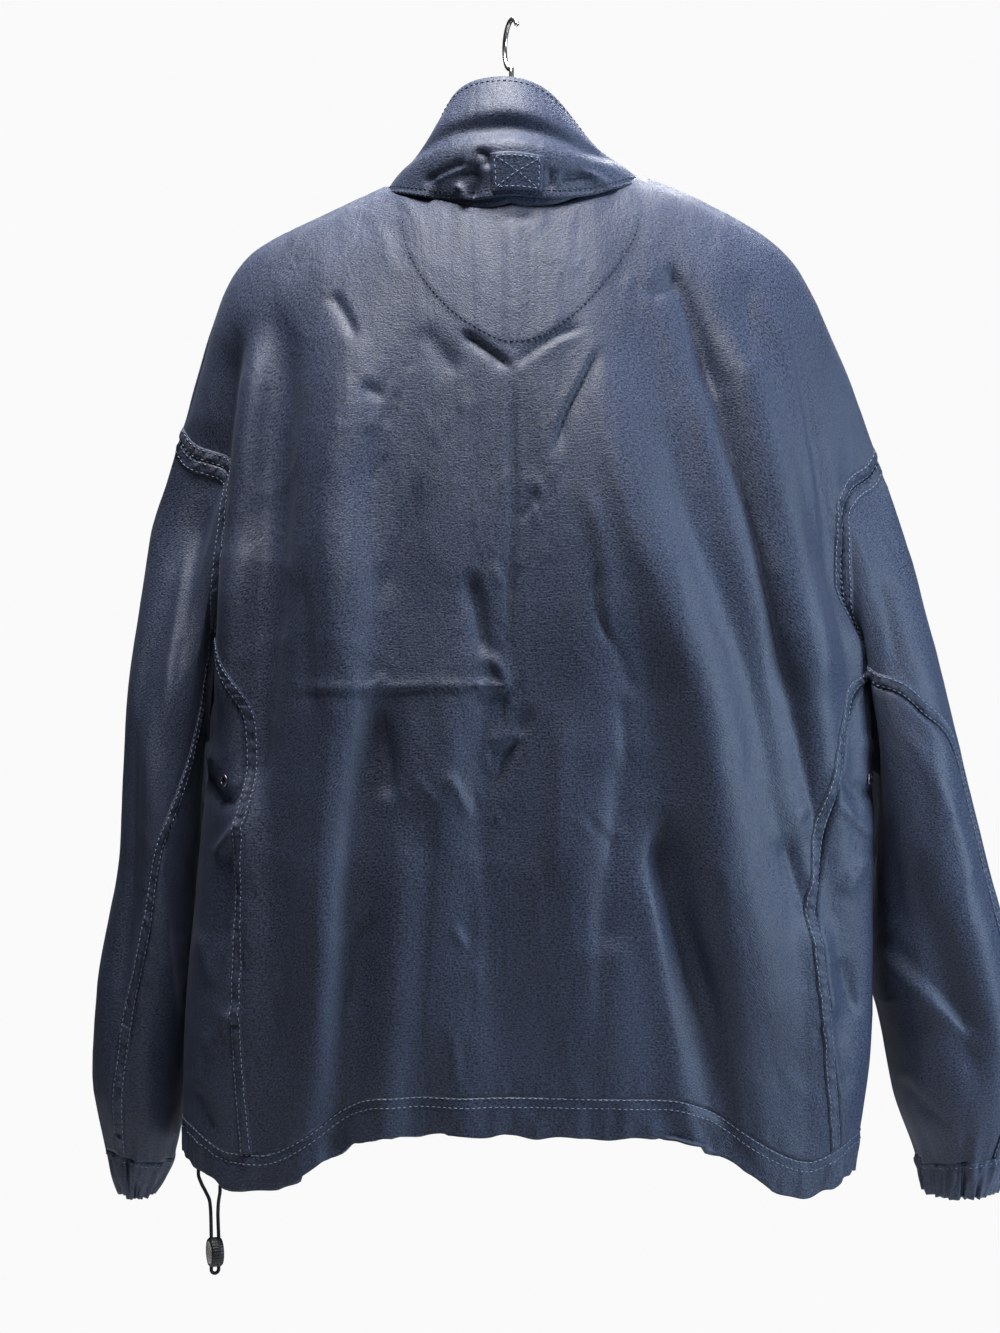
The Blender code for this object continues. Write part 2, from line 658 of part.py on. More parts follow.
def smooth_route(points, count):
    """Points spaced along a smooth curve through a route's own points."""
    points = np.array(points)
    length = np.concatenate([[0], np.cumsum(np.linalg.norm(np.diff(points, axis=0), axis=1))])
    rows = [(at, *point) for at, point in zip(length, points)]
    route = Table("at x y z", rows)
    at = np.linspace(0, length[-1], count)
    return np.stack([route.at(axis, at) for axis in "xyz"], axis=-1)


def panel_shares(first):
    """Columns of a body panel from left to right, where the first is half its middle column's width."""
    neck = first + (NECK_SHARE - first) * np.array(NECK_STEPS)
    shoulder = np.linspace(NECK_SHARE, 1, SHOULDER_COLUMNS + 1)[1:]
    half = np.concatenate([neck, shoulder])
    mirrored = -half[::-1]
    return np.concatenate([mirrored if first else mirrored[:-1], half])


ARMHOLE_TURNS = (math.pi - GUSSET_TURN) * np.arange(ARMHOLE_ROWS + 1) / ARMHOLE_ROWS
PANEL_ROWS = np.concatenate([armhole("left", ARMHOLE_TURNS)[1], ROWS_BELOW])


def body_panel(name, shares, angle_of, neck_deep, face, left_out=()):
    """A back or front: columns from the neck and the shoulder ridge down to the hem's casing."""
    away = np.abs(shares) / NECK_SHARE
    start = neck_deep * np.clip(1 - away**2, 0, None)
    down = start[None, :] + (1 - start[None, :]) * PANEL_ROWS[:, None]
    down[-1] = CASING_TOP
    across = angle_of(np.broadcast_to(shares, down.shape), down)
    outer = body(across, down)
    normal = normals_of(body, across, np.maximum(down, 1e-3))
    ridge = away >= 1 - 1e-9
    normal[0, ridge, 1] = 0
    normal[0] = unit(normal[0])
    inner = outer - CLOTH * normal
    outer[0, ridge, 1] += face * SEAM_GAP / 2
    inner[0, ridge, 1] += face * SEAM_GAP / 2
    neck = ~ridge
    move = SEAM_GAP / 2 * unit(outer[1] - outer[0])
    outer[0, neck] += move[neck]
    inner[0, neck] += move[neck]
    for side, column in (("left", 0), ("right", -1)):
        (edge, lining), _ = armhole_edges(side, -face * ARMHOLE_TURNS)
        rows = slice(1, ARMHOLE_ROWS + 1)
        outer[rows, column], inner[rows, column] = edge[rows], lining[rows]
        shoulder = 2 * SIDES[side] * SEAM_GAP
        outer[0, column, 0] -= shoulder
        inner[0, column, 0] -= shoulder
        lower = slice(ARMHOLE_ROWS, None)
        draw_back(outer[lower], inner[lower], side)
    draw_back(outer, inner, "bottom")
    return finish(wall(name, outer, inner, left_out=left_out), NAVY, 0.4)


def back_and_front():
    body_panel("back_panel", panel_shares(0), panel_angle, NECK_BACK, -1)
    shares = panel_shares(ZIP_SLIT)
    middle = len(shares) // 2 - 1
    slit = {(row, middle) for row in range(ARMHOLE_ROWS - 1)}
    body_panel("front_panel", shares, front_angle, NECK_FRONT, 1, slit)


def gusset_turns():
    return math.pi + GUSSET_TURN * np.linspace(-1, 1, GUSSET_COLUMNS + 1)


def side_panel(side):
    """The panel under the arm, from the gusset's point down to the hem, with its eyelet's hole."""
    spread = np.linspace(0, 1, GUSSET_COLUMNS + 1)
    turns = gusset_turns()
    wrapped = np.where(turns > math.pi, turns - 2 * math.pi, turns)
    _, top = armhole(side, wrapped)
    share = (PANEL_ROWS[ARMHOLE_ROWS:] - ARMHOLE_DOWN) / (CASING_TOP - ARMHOLE_DOWN)
    down = top[None, :] + (CASING_TOP - top[None, :]) * share[:, None]
    edge_down = PANEL_ROWS[ARMHOLE_ROWS:, None]
    edge = np.radians(EDGE.at(side, edge_down))
    across = SIDES[side] * (edge + (math.pi - 2 * edge) * spread[None, :])
    outer = body(across, down)
    inner = outer - CLOTH * normals_of(body, across, down)
    (body_edge, body_lining), _ = armhole_edges(side, wrapped)
    outer[0], inner[0] = body_edge, body_lining
    draw_back(outer, inner, "left", "right", "bottom")
    name = f"side_panel_{side}"
    panel = wall(name, outer, inner)
    row, column = EYELET_CELLS[side]
    corners = outer[row : row + 2, column : column + 2].reshape(-1, 3)
    centre = corners.mean(axis=0)
    normal = unit(np.cross(corners[3] - corners[0], corners[1] - corners[2]))
    normal = normal * np.sign(normal @ (outer[row, column] - inner[row, column]))
    eyelet(side, centre, normal, panel)
    return finish(panel, NAVY, 0.4)


def eyelet(side, centre, normal, panel):
    """A turned ring whose barrel passes through a round hole in the cloth and flares inside."""
    top = EYELET_FLANGE + SEAM_GAP
    below = CLOTH + SEAM_GAP
    back = EYELET_RADIUS * EYELET_BACK
    profile = [
        (EYELET_BARREL, top),
        (EYELET_RADIUS, SEAM_GAP + EYELET_RIM),
        (EYELET_RADIUS, SEAM_GAP),
        (EYELET_BARREL, SEAM_GAP),
        (EYELET_BARREL, -below),
        (back, -below),
        (back, -below - EYELET_RIM),
        (EYELET_HOLE, -below - EYELET_RIM),
        (EYELET_HOLE, EYELET_FLANGE),
        (EYELET_BARREL, top),
    ]
    ring = turned(f"eyelet_{side}", profile, 16)
    turn = rotation_to(normal)
    place_at(ring, centre, turn)
    finish(ring, STEEL, 0.35, 1.0)
    bpy.ops.mesh.primitive_cylinder_add(vertices=16, radius=EYELET_BARREL + SEAM_GAP, depth=EYELET_CUT)
    cutter = bpy.context.object
    cutter.name = f"eyelet_hole_{side}"
    place_at(cutter, centre, turn)
    cutter.hide_render = True
    cutter.display_type = "WIRE"
    for collection in list(cutter.users_collection):
        collection.objects.unlink(cutter)
    bpy.data.collections["cutters"].objects.link(cutter)
    cut = panel.modifiers.new("eyelet hole", "BOOLEAN")
    cut.operation = "DIFFERENCE"
    cut.object = cutter


def rotation_to(normal):
    """Euler angles that turn +Z to a direction."""
    x, y, z = normal
    return (0, math.acos(max(-1, min(1, z))), math.atan2(y, x))


def place_at(obj, centre, turn):
    obj.location = tuple(float(v) for v in centre)
    obj.rotation_euler = turn


def hem_casing():
    """The ring round the hem that holds the drawcord, puckered at every second column."""
    behind = panel_angle(panel_shares(0), CASING_TOP)
    before = front_angle(panel_shares(ZIP_SLIT)[::-1], CASING_TOP)
    spread = np.linspace(0, 1, GUSSET_COLUMNS + 1)[1:-1]
    right = behind[-1] + (math.pi - 2 * behind[-1]) * spread
    left = behind[0] - (math.pi + 2 * behind[0]) * spread[::-1]
    angles = np.concatenate([behind, right, before % (2 * math.pi), left % (2 * math.pi)])
    rows = np.array([CASING_TOP, 0.5 * (CASING_TOP + 1), 1.0])
    across, down = np.broadcast_arrays(angles[None, :], rows[:, None])
    outer = body(across, down)
    normal = normals_of(body, across, down)
    index = np.arange(len(angles))
    pucker = np.where(index % 2, 1, -1) * (0.7 + 0.5 * np.sin(1.7 * index))
    depth = np.array(HEM_PUCKER)[:, None] * pucker
    outer = outer + depth[..., None] * normal
    inner = outer - CASING * normal
    draw_back(outer, inner, "top")
    return finish(wall("hem_casing", outer, inner, closed=True), NAVY, 0.4)


def sleeve_panel(name, side, turns, gap_edges):
    """A sleeve panel whose columns follow its seams, given their turns at every row."""
    along = np.broadcast_to(np.array(SLEEVE_ROWS, float)[:, None], turns.shape)

    def surface(across, down):
        return sleeve(side, across, down)

    outer = surface(turns, along)
    inner = outer + SIDES[side] * CLOTH * normals_of(surface, turns, np.maximum(along, 2e-3))
    head = (turns[0] + math.pi) % (2 * math.pi) - math.pi
    _, (edge, lining) = armhole_edges(side, head)
    outer[0], inner[0] = edge, lining
    draw_back(outer, inner, "bottom", *gap_edges)
    return finish(wall(name, outer, inner), NAVY, 0.4)


def seam_turns(side, along):
    table = SLEEVE_SEAMS[side]
    return np.radians(table.at("back", along)), np.radians(table.at("front", along))


def over_turns(side, along):
    """Columns of the over-sleeve from its front seam over the outer line to its back seam."""
    back, front = seam_turns(side, np.asarray(along, float))
    share = np.arange(-ARMHOLE_ROWS, ARMHOLE_ROWS + 1) / ARMHOLE_ROWS
    return np.where(share < 0, front[:, None] * share, back[:, None] * share)


def under_turns(side, along):
    """Columns of the under-sleeve from the back seam under the arm to the front seam."""
    back, front = seam_turns(side, np.asarray(along, float))
    spread = np.linspace(0, 1, GUSSET_COLUMNS + 1)
    return back[:, None] + (2 * math.pi - front - back)[:, None] * spread


def cuff(side):
    """The elastic casing at the wrist: a ring in fine gathers, even with the sleeve's lower edge."""
    last = np.array([SLEEVE_ROWS[-1]], float)
    ring = np.concatenate([over_turns(side, last)[0, :-1], under_turns(side, last)[0, :-1]])
    ends = np.append(ring, ring[0] + 2 * math.pi)
    rows = np.array([1.0, 0.5 * (1 + CUFF_END), CUFF_END])
    across, down = np.broadcast_arrays(ends[None, :], rows[:, None])

    def surface(turn, along):
        return sleeve(side, turn, along)

    coarse = surface(across, down)
    coarse_normal = -SIDES[side] * normals_of(surface, across, np.minimum(down, CUFF_END - 1e-3))
    split = np.arange(CUFF_SPLITS) / CUFF_SPLITS
    outer, normal = [], []
    for grid, out in ((coarse, outer), (coarse_normal, normal)):
        steps = grid[:, :-1, None] + (grid[:, 1:, None] - grid[:, :-1, None]) * split[:, None]
        out.append(steps.reshape(len(rows), -1, 3))
    outer, normal = outer[0], unit(normal[0])
    index = np.arange(outer.shape[1])
    gather = np.where(index % 2, 1, -1) * (0.8 + 0.4 * np.sin(1.3 * index))
    depth = np.array(CUFF_GATHER)[:, None] * gather
    outer = outer + depth[..., None] * normal
    inner = outer - CASING * normal
    draw_back(outer, inner, "top")
    return finish(wall(f"cuff_{side}", outer, inner, closed=True), NAVY_DARK, 0.45)


def collar():
    """The standing wall on the neck seam, its outer leaf and the stitched tab on the leaf."""
    slit = ZIP_SLIT / NECK_SHARE
    back = np.array(NECK_STEPS)
    front = 2 - (slit + (1 - slit) * back[-2::-1])
    half = np.concatenate([back, front])
    turns = np.concatenate([-half[:0:-1], half])
    across, down = np.broadcast_arrays(turns[None, :], np.array(STAND_ROWS, float)[:, None])
    outer = stand(across, down)
    inner = outer - CLOTH * normals_of(stand, across, np.clip(down, 2e-3, 1 - 2e-3))
    for grid in (outer, inner):
        grid[-1] += SEAM_GAP * unit(outer[-2] - outer[-1])
    finish(wall("collar_stand", outer, inner), NAVY, 0.4)

    sides = np.array(FLAP_SIDE_TURNS)
    turns = np.concatenate([-sides[::-1], TAB_TURNS, sides])
    across, down = np.broadcast_arrays(turns[None, :], np.array(FLAP_ROWS)[:, None])
    outer = flap(across, down)
    normal = normals_of(flap, across, np.clip(down, 2e-3, 1 - 2e-3))
    finish(wall("collar_flap", outer, outer - CLOTH * normal), NAVY, 0.4)

    first = len(sides)
    patch = np.s_[TAB_ROWS, first : first + len(TAB_TURNS)]
    under = outer[patch] + SEAM_GAP * normal[patch]
    finish(wall("collar_tab", under + CLOTH * normal[patch], under), NAVY, 0.4)


def front_line():
    """Centres of the zip from the collar's top to below the slit, and the cloth's Y beside it."""
    edge = 2 - ZIP_TAPE_HALF / NECK_HALF
    top = stand(edge, np.linspace(0.06, 0.94, 4))
    slit_end = NECK_FRONT + (1 - NECK_FRONT) * PANEL_ROWS[ARMHOLE_ROWS - 1]
    downs = np.linspace(NECK_FRONT + 0.006, slit_end - 0.006, 7)
    downs = np.append(downs, [slit_end - 0.003, slit_end + 0.012])
    low = body(math.pi, downs)
    return np.concatenate([top, low])[:, 1:]


def zip_fastener():
    """Tape and closed chain behind the slit, the slider at the top, and its hinged pull."""
    line = front_line()
    half = np.array([ZIP_TAPE_HALF, ZIP_CHAIN_HALF + CHAIN_EDGE, ZIP_CHAIN_HALF])
    columns = np.concatenate([half, -half[::-1]])
    raised = np.outer(np.ones(len(line)), [0, 0, 1, 1, 0, 0]) * ZIP_CHAIN_RISE
    raised[-ROWS_PAST_CHAIN:] = 0
    behind = CLOTH + ZIP_BEHIND
    outer = np.zeros((len(line), len(columns), 3))
    outer[..., 0] = columns
    outer[..., 1] = line[:, :1] - behind + raised
    outer[..., 2] = line[:, 1:]
    inner = outer.copy()
    inner[..., 1] = line[:, :1] - behind - ZIP_TAPE
    finish(wall("zip_tape", outer, inner), NAVY_DARK, 0.6)

    wide, thick, tall = SLIDER_SIZE
    slot, slot_deep = SLIDER_SLOT
    lean = math.atan2(line[1, 0] - line[0, 0], line[0, 1] - line[1, 1])
    base_y = line[0, 0] - behind + ZIP_CHAIN_RISE + SEAM_GAP
    middle = (0.0, base_y + tall / 2 * math.sin(lean), line[0, 1] - tall / 2 * math.cos(lean))
    floor = thick - slot_deep
    half = [(wide / 2, 0), (wide / 2, thick), (slot / 2, thick), (slot / 2, floor)]
    outline = half + [(-x, y) for x, y in reversed(half)]
    curve = bpy.data.curves.new("zip_slider", "CURVE")
    curve.dimensions = "2D"
    curve.fill_mode = "BOTH"
    curve.extrude = tall / 2
    spline = curve.splines.new("POLY")
    spline.points.add(len(outline) - 1)
    for point, (x, y) in zip(spline.points, outline):
        point.co = (x, y, 0, 1)
    spline.use_cyclic_u = True
    slider = bpy.data.objects.new("zip_slider", curve)
    bpy.context.scene.collection.objects.link(slider)
    place_at(slider, middle, (lean, 0, 0))
    finish(slider, STEEL, 0.35, 1.0)

    pin_out = thick - slot_deep / 2 + PULL_CLEAR
    pin = (0.0, middle[1] + pin_out * math.cos(lean), middle[2] + pin_out * math.sin(lean))
    pull_wide, pull_thick, pull_long = PULL_SIZE
    bpy.ops.mesh.primitive_cube_add(size=1)
    pull = bpy.context.object
    pull.name = "zip_pull"
    pull.data.name = "zip_pull"
    for vertex in pull.data.vertices:
        vertex.co.x *= pull_wide
        vertex.co.y *= pull_thick
        vertex.co.z = vertex.co.z * pull_long - pull_long / 2 + PULL_PIN
    bevel = pull.modifiers.new("round edges", "BEVEL")
    bevel.width = PULL_EDGE
    bevel.segments = 1
    place_at(pull, pin, (lean, 0, 0))
    finish(pull, STEEL, 0.35, 1.0)


def drawcord():
    """Two strands from the hem into the lock, the loop under it, and the lock's drum."""
    axis = np.array([-math.cos(LOCK_TURN), -math.sin(LOCK_TURN), 0.0])
    centre = np.array(LOCK_CENTRE)
    top = LOCK_RADIUS + SEAM_GAP
    for side, route in CORD_ROUTES.items():
        angle = math.radians(CORD_EXITS[side])
        edge = body(angle, 1.0) - CASING / 2 * normals_of(body, angle, 0.999)
        lead = [edge - np.array([0, 0, drop]) for drop in CORD_LEAD]
        end = centre - SIDES[side] * CORD_SPREAD * axis + np.array([0, 0, top])
        strand = smooth_route([*lead, *route, end], CORD_POINTS)
        finish(tube(f"drawcord_{side}", strand, CORD), BLACK, 0.8)
    low = centre - np.array([0, 0, top])
    bend = np.linspace(0, math.pi, 9)[:, None]
    turn = np.cos(bend) * axis - np.sin(bend) * np.array([0, 0, 1])
    loop = low - np.array([0, 0, LOOP_DROP]) + CORD_SPREAD * turn
    ends = low + CORD_SPREAD * np.array([[1], [-1]]) * axis
    finish(tube("drawcord_loop", np.concatenate([ends[:1], loop, ends[1:]]), CORD), BLACK, 0.8)

    half, flat = LOCK_THICK / 2, LOCK_RADIUS - LOCK_EDGE
    upper = [(0, half), (flat, half), (LOCK_RADIUS, half - LOCK_EDGE)]
    profile = upper + [(r, -h) for r, h in reversed(upper)]
    lock = turned("cord_lock", profile, 24)
    place_at(lock, centre, rotation_to(axis))
    finish(lock, BLACK, 0.5)


def ridge_height(x):
    """Height of the shoulder ridge over a place across the garment."""
    u = np.linspace(0, 1, 201)
    sign = 1 if x >= 0 else -1
    points = body(sign * np.arcsin(u), 0.0)
    return float(np.interp(abs(x), np.abs(points[:, 0]), points[:, 2]))


def hanger():
    """A plain bar under the shoulder ridge and a wire hook that stands in its middle."""
    across = np.linspace(-BAR_HALF, BAR_HALF, 17)
    bar = [(x, 0.0, ridge_height(x) - BAR_BELOW_RIDGE) for x in across]
    finish(tube("hanger_bar", bar, BAR_THICK, 3), BAR_GREY, 0.5)
    foot = bar[len(bar) // 2][2] + BAR_THICK / 2 + SEAM_GAP
    crown = HOOK_WIRE / 2
    centre = crown - HOOK_RADIUS
    level = np.array([math.cos(HOOK_TURN), math.sin(HOOK_TURN), 0.0])
    up = np.array([0.0, 0.0, 1.0])
    arc = np.radians(np.linspace(*HOOK_ARC, 15))[:, None]
    bow = HOOK_RADIUS * np.cos(arc) * level + (centre + HOOK_RADIUS * np.sin(arc)) * up
    stem = np.linspace(foot, centre - HOOK_RADIUS - HOOK_NECK, 3)[:, None] * up
    finish(tube("hanger_hook", np.concatenate([stem, bow]), HOOK_WIRE), STEEL, 0.3, 1.0)


def main():
    for obj in list(bpy.data.objects):
        bpy.data.objects.remove(obj)
    for name in ("anorak", "cutters"):
        bpy.context.scene.collection.children.link(bpy.data.collections.new(name))
    back_and_front()
    hem_casing()
    for side in SIDES:
        side_panel(side)
        sleeve_panel(f"sleeve_{side}", side, over_turns(side, SLEEVE_ROWS), ("left", "right"))
        sleeve_panel(f"under_sleeve_{side}", side, under_turns(side, SLEEVE_ROWS), ("left", "right"))
        cuff(side)
    collar()
    zip_fastener()
    drawcord()
    hanger()


main()
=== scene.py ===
"""Looks of the thin navy anorak on its hanger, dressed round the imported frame.

Metres, +Z up, with the origin at the underside of the hook's crown. The back faces -Y. Each piece
of cloth is a fine grid of points on the same form as its solid, with creases, seams and puckers
added along the form's normals.
"""

import math

import bpy
import numpy as np
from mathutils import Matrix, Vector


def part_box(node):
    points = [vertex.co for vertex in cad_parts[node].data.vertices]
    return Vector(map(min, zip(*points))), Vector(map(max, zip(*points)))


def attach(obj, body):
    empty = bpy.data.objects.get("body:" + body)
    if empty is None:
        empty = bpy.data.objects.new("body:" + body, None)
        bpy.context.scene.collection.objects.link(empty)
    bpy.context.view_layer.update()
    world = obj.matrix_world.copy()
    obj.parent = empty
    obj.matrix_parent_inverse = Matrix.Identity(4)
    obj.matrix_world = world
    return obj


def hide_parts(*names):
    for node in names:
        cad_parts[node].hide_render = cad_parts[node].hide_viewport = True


MM = 0.001

# Form of the garment, as in the part's source
CLOTH = 0.0012
CASING = 0.0024
NECK_HALF = 0.105
NECK_BACK = 0.09
NECK_FRONT = 0.13
ARMHOLE_DOWN = 0.4
GUSSET_DROP = 0.13
GUSSET_TURN = math.radians(15)
GUSSET_SPREAD = math.radians(10)
CASING_TOP = 0.958
CUFF_END = 1.12
FLAP_CLEAR = 0.0013
FLAP_REACH_OUT = 1.13
FLAP_REACH_DOWN = 1.1
TAB_TURNS = (-0.14, 0.214)
TAB_ROWS = (0.59, 0.86)
ZIP_SLIT = 0.0172
ZIP_TAPE_HALF = 0.011


class Table:
    """Rows of named columns; each column is a smooth curve over the first one."""

    def __init__(self, names, rows):
        """Keeps the first column as the key."""
        values = np.array(rows, float)
        self.key = values[:, 0]
        self.columns = dict(zip(names.split(), values.T))

    def at(self, name, key):
        """A cubic through the column's points that never overshoots them."""
        xs, ys = self.key, self.columns[name]
        key = np.clip(np.asarray(key, float), xs[0], xs[-1])
        steps = np.diff(xs)
        slopes = np.diff(ys) / steps
        product = slopes[:-1] * slopes[1:]
        total = slopes[:-1] + slopes[1:]
        inner = np.where(product > 0, 2 * product / np.where(total == 0, 1, total), 0)
        tangents = np.concatenate([slopes[:1], inner, slopes[-1:]])
        i = np.clip(np.searchsorted(xs, key, side="right") - 1, 0, len(xs) - 2)
        width = steps[i]
        w = (key - xs[i]) / width
        start = (1 + 2 * w) * (1 - w) ** 2 * ys[i] + w * (1 - w) ** 2 * width * tangents[i]
        end = w**2 * (3 - 2 * w) * ys[i + 1] - w**2 * (1 - w) * width * tangents[i + 1]
        return start + end


def named_rows(names, rows):
    """Rows of numbers as records with named values."""
    return [dict(zip(names.split(), row)) for row in rows]


# The body from the shoulder ridge (0) to the hem (1): heights at the centre, how they fall
# towards the sides, half widths, the lean to the right, and the depths of back and front.
BODY = Table("down centre_z slope fall dip half_width shift right_drop back_depth front_depth box", [
    (0.0, -0.09, 0.115, 0.14, 0.0, 0.288, 0.014, 0.017, 0.0, 0.0, 2.0),
    (0.015, -0.102, 0.113, 0.136, 0.0, 0.286, 0.0142, 0.017, 0.026, 0.024, 2.0),
    (0.04, -0.122, 0.11, 0.13, 0.0, 0.282, 0.0145, 0.018, 0.045, 0.04, 2.05),
    (0.09, -0.162, 0.102, 0.118, 0.0, 0.273, 0.015, 0.02, 0.068, 0.058, 2.1),
    (0.2, -0.26, 0.075, 0.095, 0.0, 0.262, 0.017, 0.024, 0.095, 0.078, 2.2),
    (0.3, -0.35, 0.05, 0.07, 0.0, 0.259, 0.019, 0.027, 0.107, 0.086, 2.35),
    (0.4, -0.44, 0.03, 0.035, 0.0, 0.269, 0.022, 0.03, 0.115, 0.09, 2.5),
    (0.52, -0.537, 0.018, 0.01, 0.035, 0.272, 0.023, 0.024, 0.118, 0.093, 2.6),
    (0.7, -0.675, 0.006, 0.0, 0.056, 0.278, 0.018, 0.012, 0.12, 0.095, 2.7),
    (0.85, -0.787, 0.002, 0.0, 0.052, 0.282, 0.014, 0.011, 0.115, 0.093, 2.75),
    (1.0, -0.9, 0.0, 0.0, 0.047, 0.276, 0.006, 0.012, 0.108, 0.09, 2.8),
])

# What is added to the shoulder ridge's height on either side, over the share of the way out;
# it fades down to RIDGE_FADE
RIDGE = Table("share left right", [
    (0.0, 0.0, 0.0),
    (0.25, -0.002, 0.004),
    (0.45, -0.005, 0.0085),
    (0.64, -0.0056, 0.006),
    (0.72, -0.0036, 0.0045),
    (0.78, -0.002, 0.001),
    (0.82, -0.003, -0.007),
    (0.86, -0.0075, -0.0155),
    (0.9, -0.0145, -0.0205),
    (0.94, -0.019, -0.0205),
    (0.97, -0.0165, -0.014),
    (1.0, 0.0, 0.0),
])
RIDGE_FADE = 0.26

# Angle in degrees from the centre of a back or front panel to its outer edge, on either
# side of the garment: the armhole above, the side seam below. The guide holds the columns.
EDGE = Table("down left right guide", [
    (0.0, 90.0, 90.0, 90.0),
    (0.05, 82.0, 82.0, 80.0),
    (0.12, 74.0, 74.0, 75.0),
    (0.2, 69.5, 69.5, 71.0),
    (0.3, 70.0, 70.0, 67.5),
    (0.4, 80.0, 80.0, 64.0),
    (0.45, 63.0, 67.0, 62.0),
    (0.51, 53.0, 59.0, 60.0),
    (0.68, 51.0, 50.0, 56.0),
    (0.85, 48.0, 53.0, 54.0),
    (1.0, 45.0, 60.0, 53.0),
])

# The largest folds, as lines seen from behind or before: ridges rise and troughs sink.
FOLD_NAMES = "x_top z_top x_bottom z_bottom bow height half_width"
BACK_FOLDS = named_rows(FOLD_NAMES, [
    (-0.226, -0.235, -0.256, -0.58, -0.006, -0.016, 0.016),
    (-0.203, -0.25, -0.236, -0.58, -0.004, 0.008, 0.018),
    (-0.188, -0.22, -0.216, -0.66, 0.01, -0.01, 0.015),
    (-0.13, -0.26, -0.166, -0.95, 0.022, 0.006, 0.024),
    (-0.1, -0.54, -0.146, -0.95, 0.004, -0.008, 0.019),
    (-0.084, -0.64, -0.11, -0.95, 0.002, 0.005, 0.017),
    (-0.06, -0.62, -0.074, -0.95, -0.002, -0.006, 0.02),
    (-0.032, -0.74, -0.038, -0.95, 0.0, 0.004, 0.016),
    (0.088, -0.28, 0.222, -0.86, 0.002, 0.007, 0.03),
    (0.132, -0.205, 0.282, -0.86, 0.012, -0.012, 0.015),
    (0.176, -0.25, 0.25, -0.56, 0.006, 0.008, 0.02),
    (0.086, -0.59, 0.072, -0.76, 0.0, -0.005, 0.02),
    (0.122, -0.64, 0.18, -0.95, -0.004, -0.009, 0.018),
    (0.106, -0.68, 0.146, -0.95, 0.002, 0.005, 0.015),
])
FRONT_FOLDS = named_rows(FOLD_NAMES, [
    (-0.205, -0.24, -0.236, -0.62, -0.006, -0.01, 0.018),
    (-0.165, -0.32, -0.19, -0.95, 0.012, 0.007, 0.026),
    (-0.11, -0.52, -0.128, -0.95, 0.004, -0.008, 0.02),
    (-0.066, -0.56, -0.072, -0.95, 0.0, 0.006, 0.02),
    (0.07, -0.54, 0.09, -0.95, 0.0, -0.008, 0.022),
    (0.13, -0.34, 0.176, -0.95, 0.006, 0.007, 0.026),
    (0.196, -0.24, 0.248, -0.64, 0.008, -0.01, 0.018),
])

# Sleeves from the armhole (0) past the wrist (1) to the cuff's end: the outer and inner
# lines seen from behind, measured outwards from the centre plane, the half depth, and how far
# the sleeve hangs forward.
SLEEVE_NAMES = "along outer_x outer_z inner_x inner_z depth forward"
SLEEVES = {
    "left": Table(SLEEVE_NAMES, [
        (0.0, 0.274, -0.345, 0.25, -0.594, 0.08, 0.0),
        (0.06, 0.285, -0.376, 0.259, -0.604, 0.084, 0.012),
        (0.15, 0.3015, -0.428, 0.259, -0.645, 0.088, 0.028),
        (0.35, 0.317, -0.56, 0.2625, -0.715, 0.094, 0.04),
        (0.55, 0.3215, -0.68, 0.266, -0.775, 0.09, 0.04),
        (0.75, 0.3425, -0.8, 0.27, -0.84, 0.082, 0.04),
        (0.9, 0.3485, -0.87, 0.275, -0.893, 0.074, 0.038),
        (1.0, 0.3385, -0.928, 0.285, -0.942, 0.056, 0.036),
        (CUFF_END, 0.326, -0.967, 0.3, -0.972, 0.044, 0.036),
    ]),
    "right": Table(SLEEVE_NAMES, [
        (0.0, 0.302, -0.362, 0.296, -0.618, 0.082, 0.0),
        (0.06, 0.3145, -0.392, 0.3085, -0.628, 0.086, 0.004),
        (0.15, 0.3315, -0.44, 0.307, -0.668, 0.09, 0.018),
        (0.35, 0.363, -0.56, 0.302, -0.735, 0.092, 0.04),
        (0.55, 0.394, -0.68, 0.304, -0.79, 0.088, 0.04),
        (0.75, 0.4225, -0.8, 0.3155, -0.845, 0.078, 0.04),
        (0.9, 0.4295, -0.875, 0.326, -0.9, 0.068, 0.038),
        (1.0, 0.414, -0.932, 0.342, -0.945, 0.052, 0.036),
        (CUFF_END, 0.406, -0.97, 0.347, -0.972, 0.04, 0.036),
    ]),
}
SLEEVE_BOX = 2.3
LOOP_FADE = 0.34
SIDES = {"left": -1, "right": 1}

# Where the seams between over-sleeve and under-sleeve run, in degrees from the outer line
SLEEVE_SEAMS = {
    "left": Table(
        "along back front",
        [(0, 165, 165), (0.2, 135, 145), (0.45, 104, 125), (0.75, 90, 118), (CUFF_END, 80, 115)],
    ),
    "right": Table(
        "along back front",
        [(0, 165, 165), (0.12, 122, 150), (0.25, 76, 138), (0.42, 45, 126), (0.65, 44, 120),
         (CUFF_END, 72, 115)],
    ),
}

# Sleeve folds: the angle where each starts and ends, the stretch it covers and its size
SLEEVE_FOLD_NAMES = "turn_start turn_end start end height half_turn"
SLEEVE_FOLDS = {
    "left": named_rows(SLEEVE_FOLD_NAMES, [
        (52, 72, 0.1, 0.8, -0.009, 14),
        (22, 44, 0.2, 0.95, 0.006, 16),
        (-60, -84, 0.15, 0.9, -0.008, 18),
        (-110, -96, 0.3, 0.95, 0.006, 18),
    ]),
    "right": named_rows(SLEEVE_FOLD_NAMES, [
        (118, 84, 0.3, 0.92, -0.008, 15),
        (62, 70, 0.2, 0.95, 0.006, 18),
        (-60, -84, 0.15, 0.9, -0.008, 18),
        (-110, -96, 0.3, 0.95, 0.006, 18),
    ]),
}

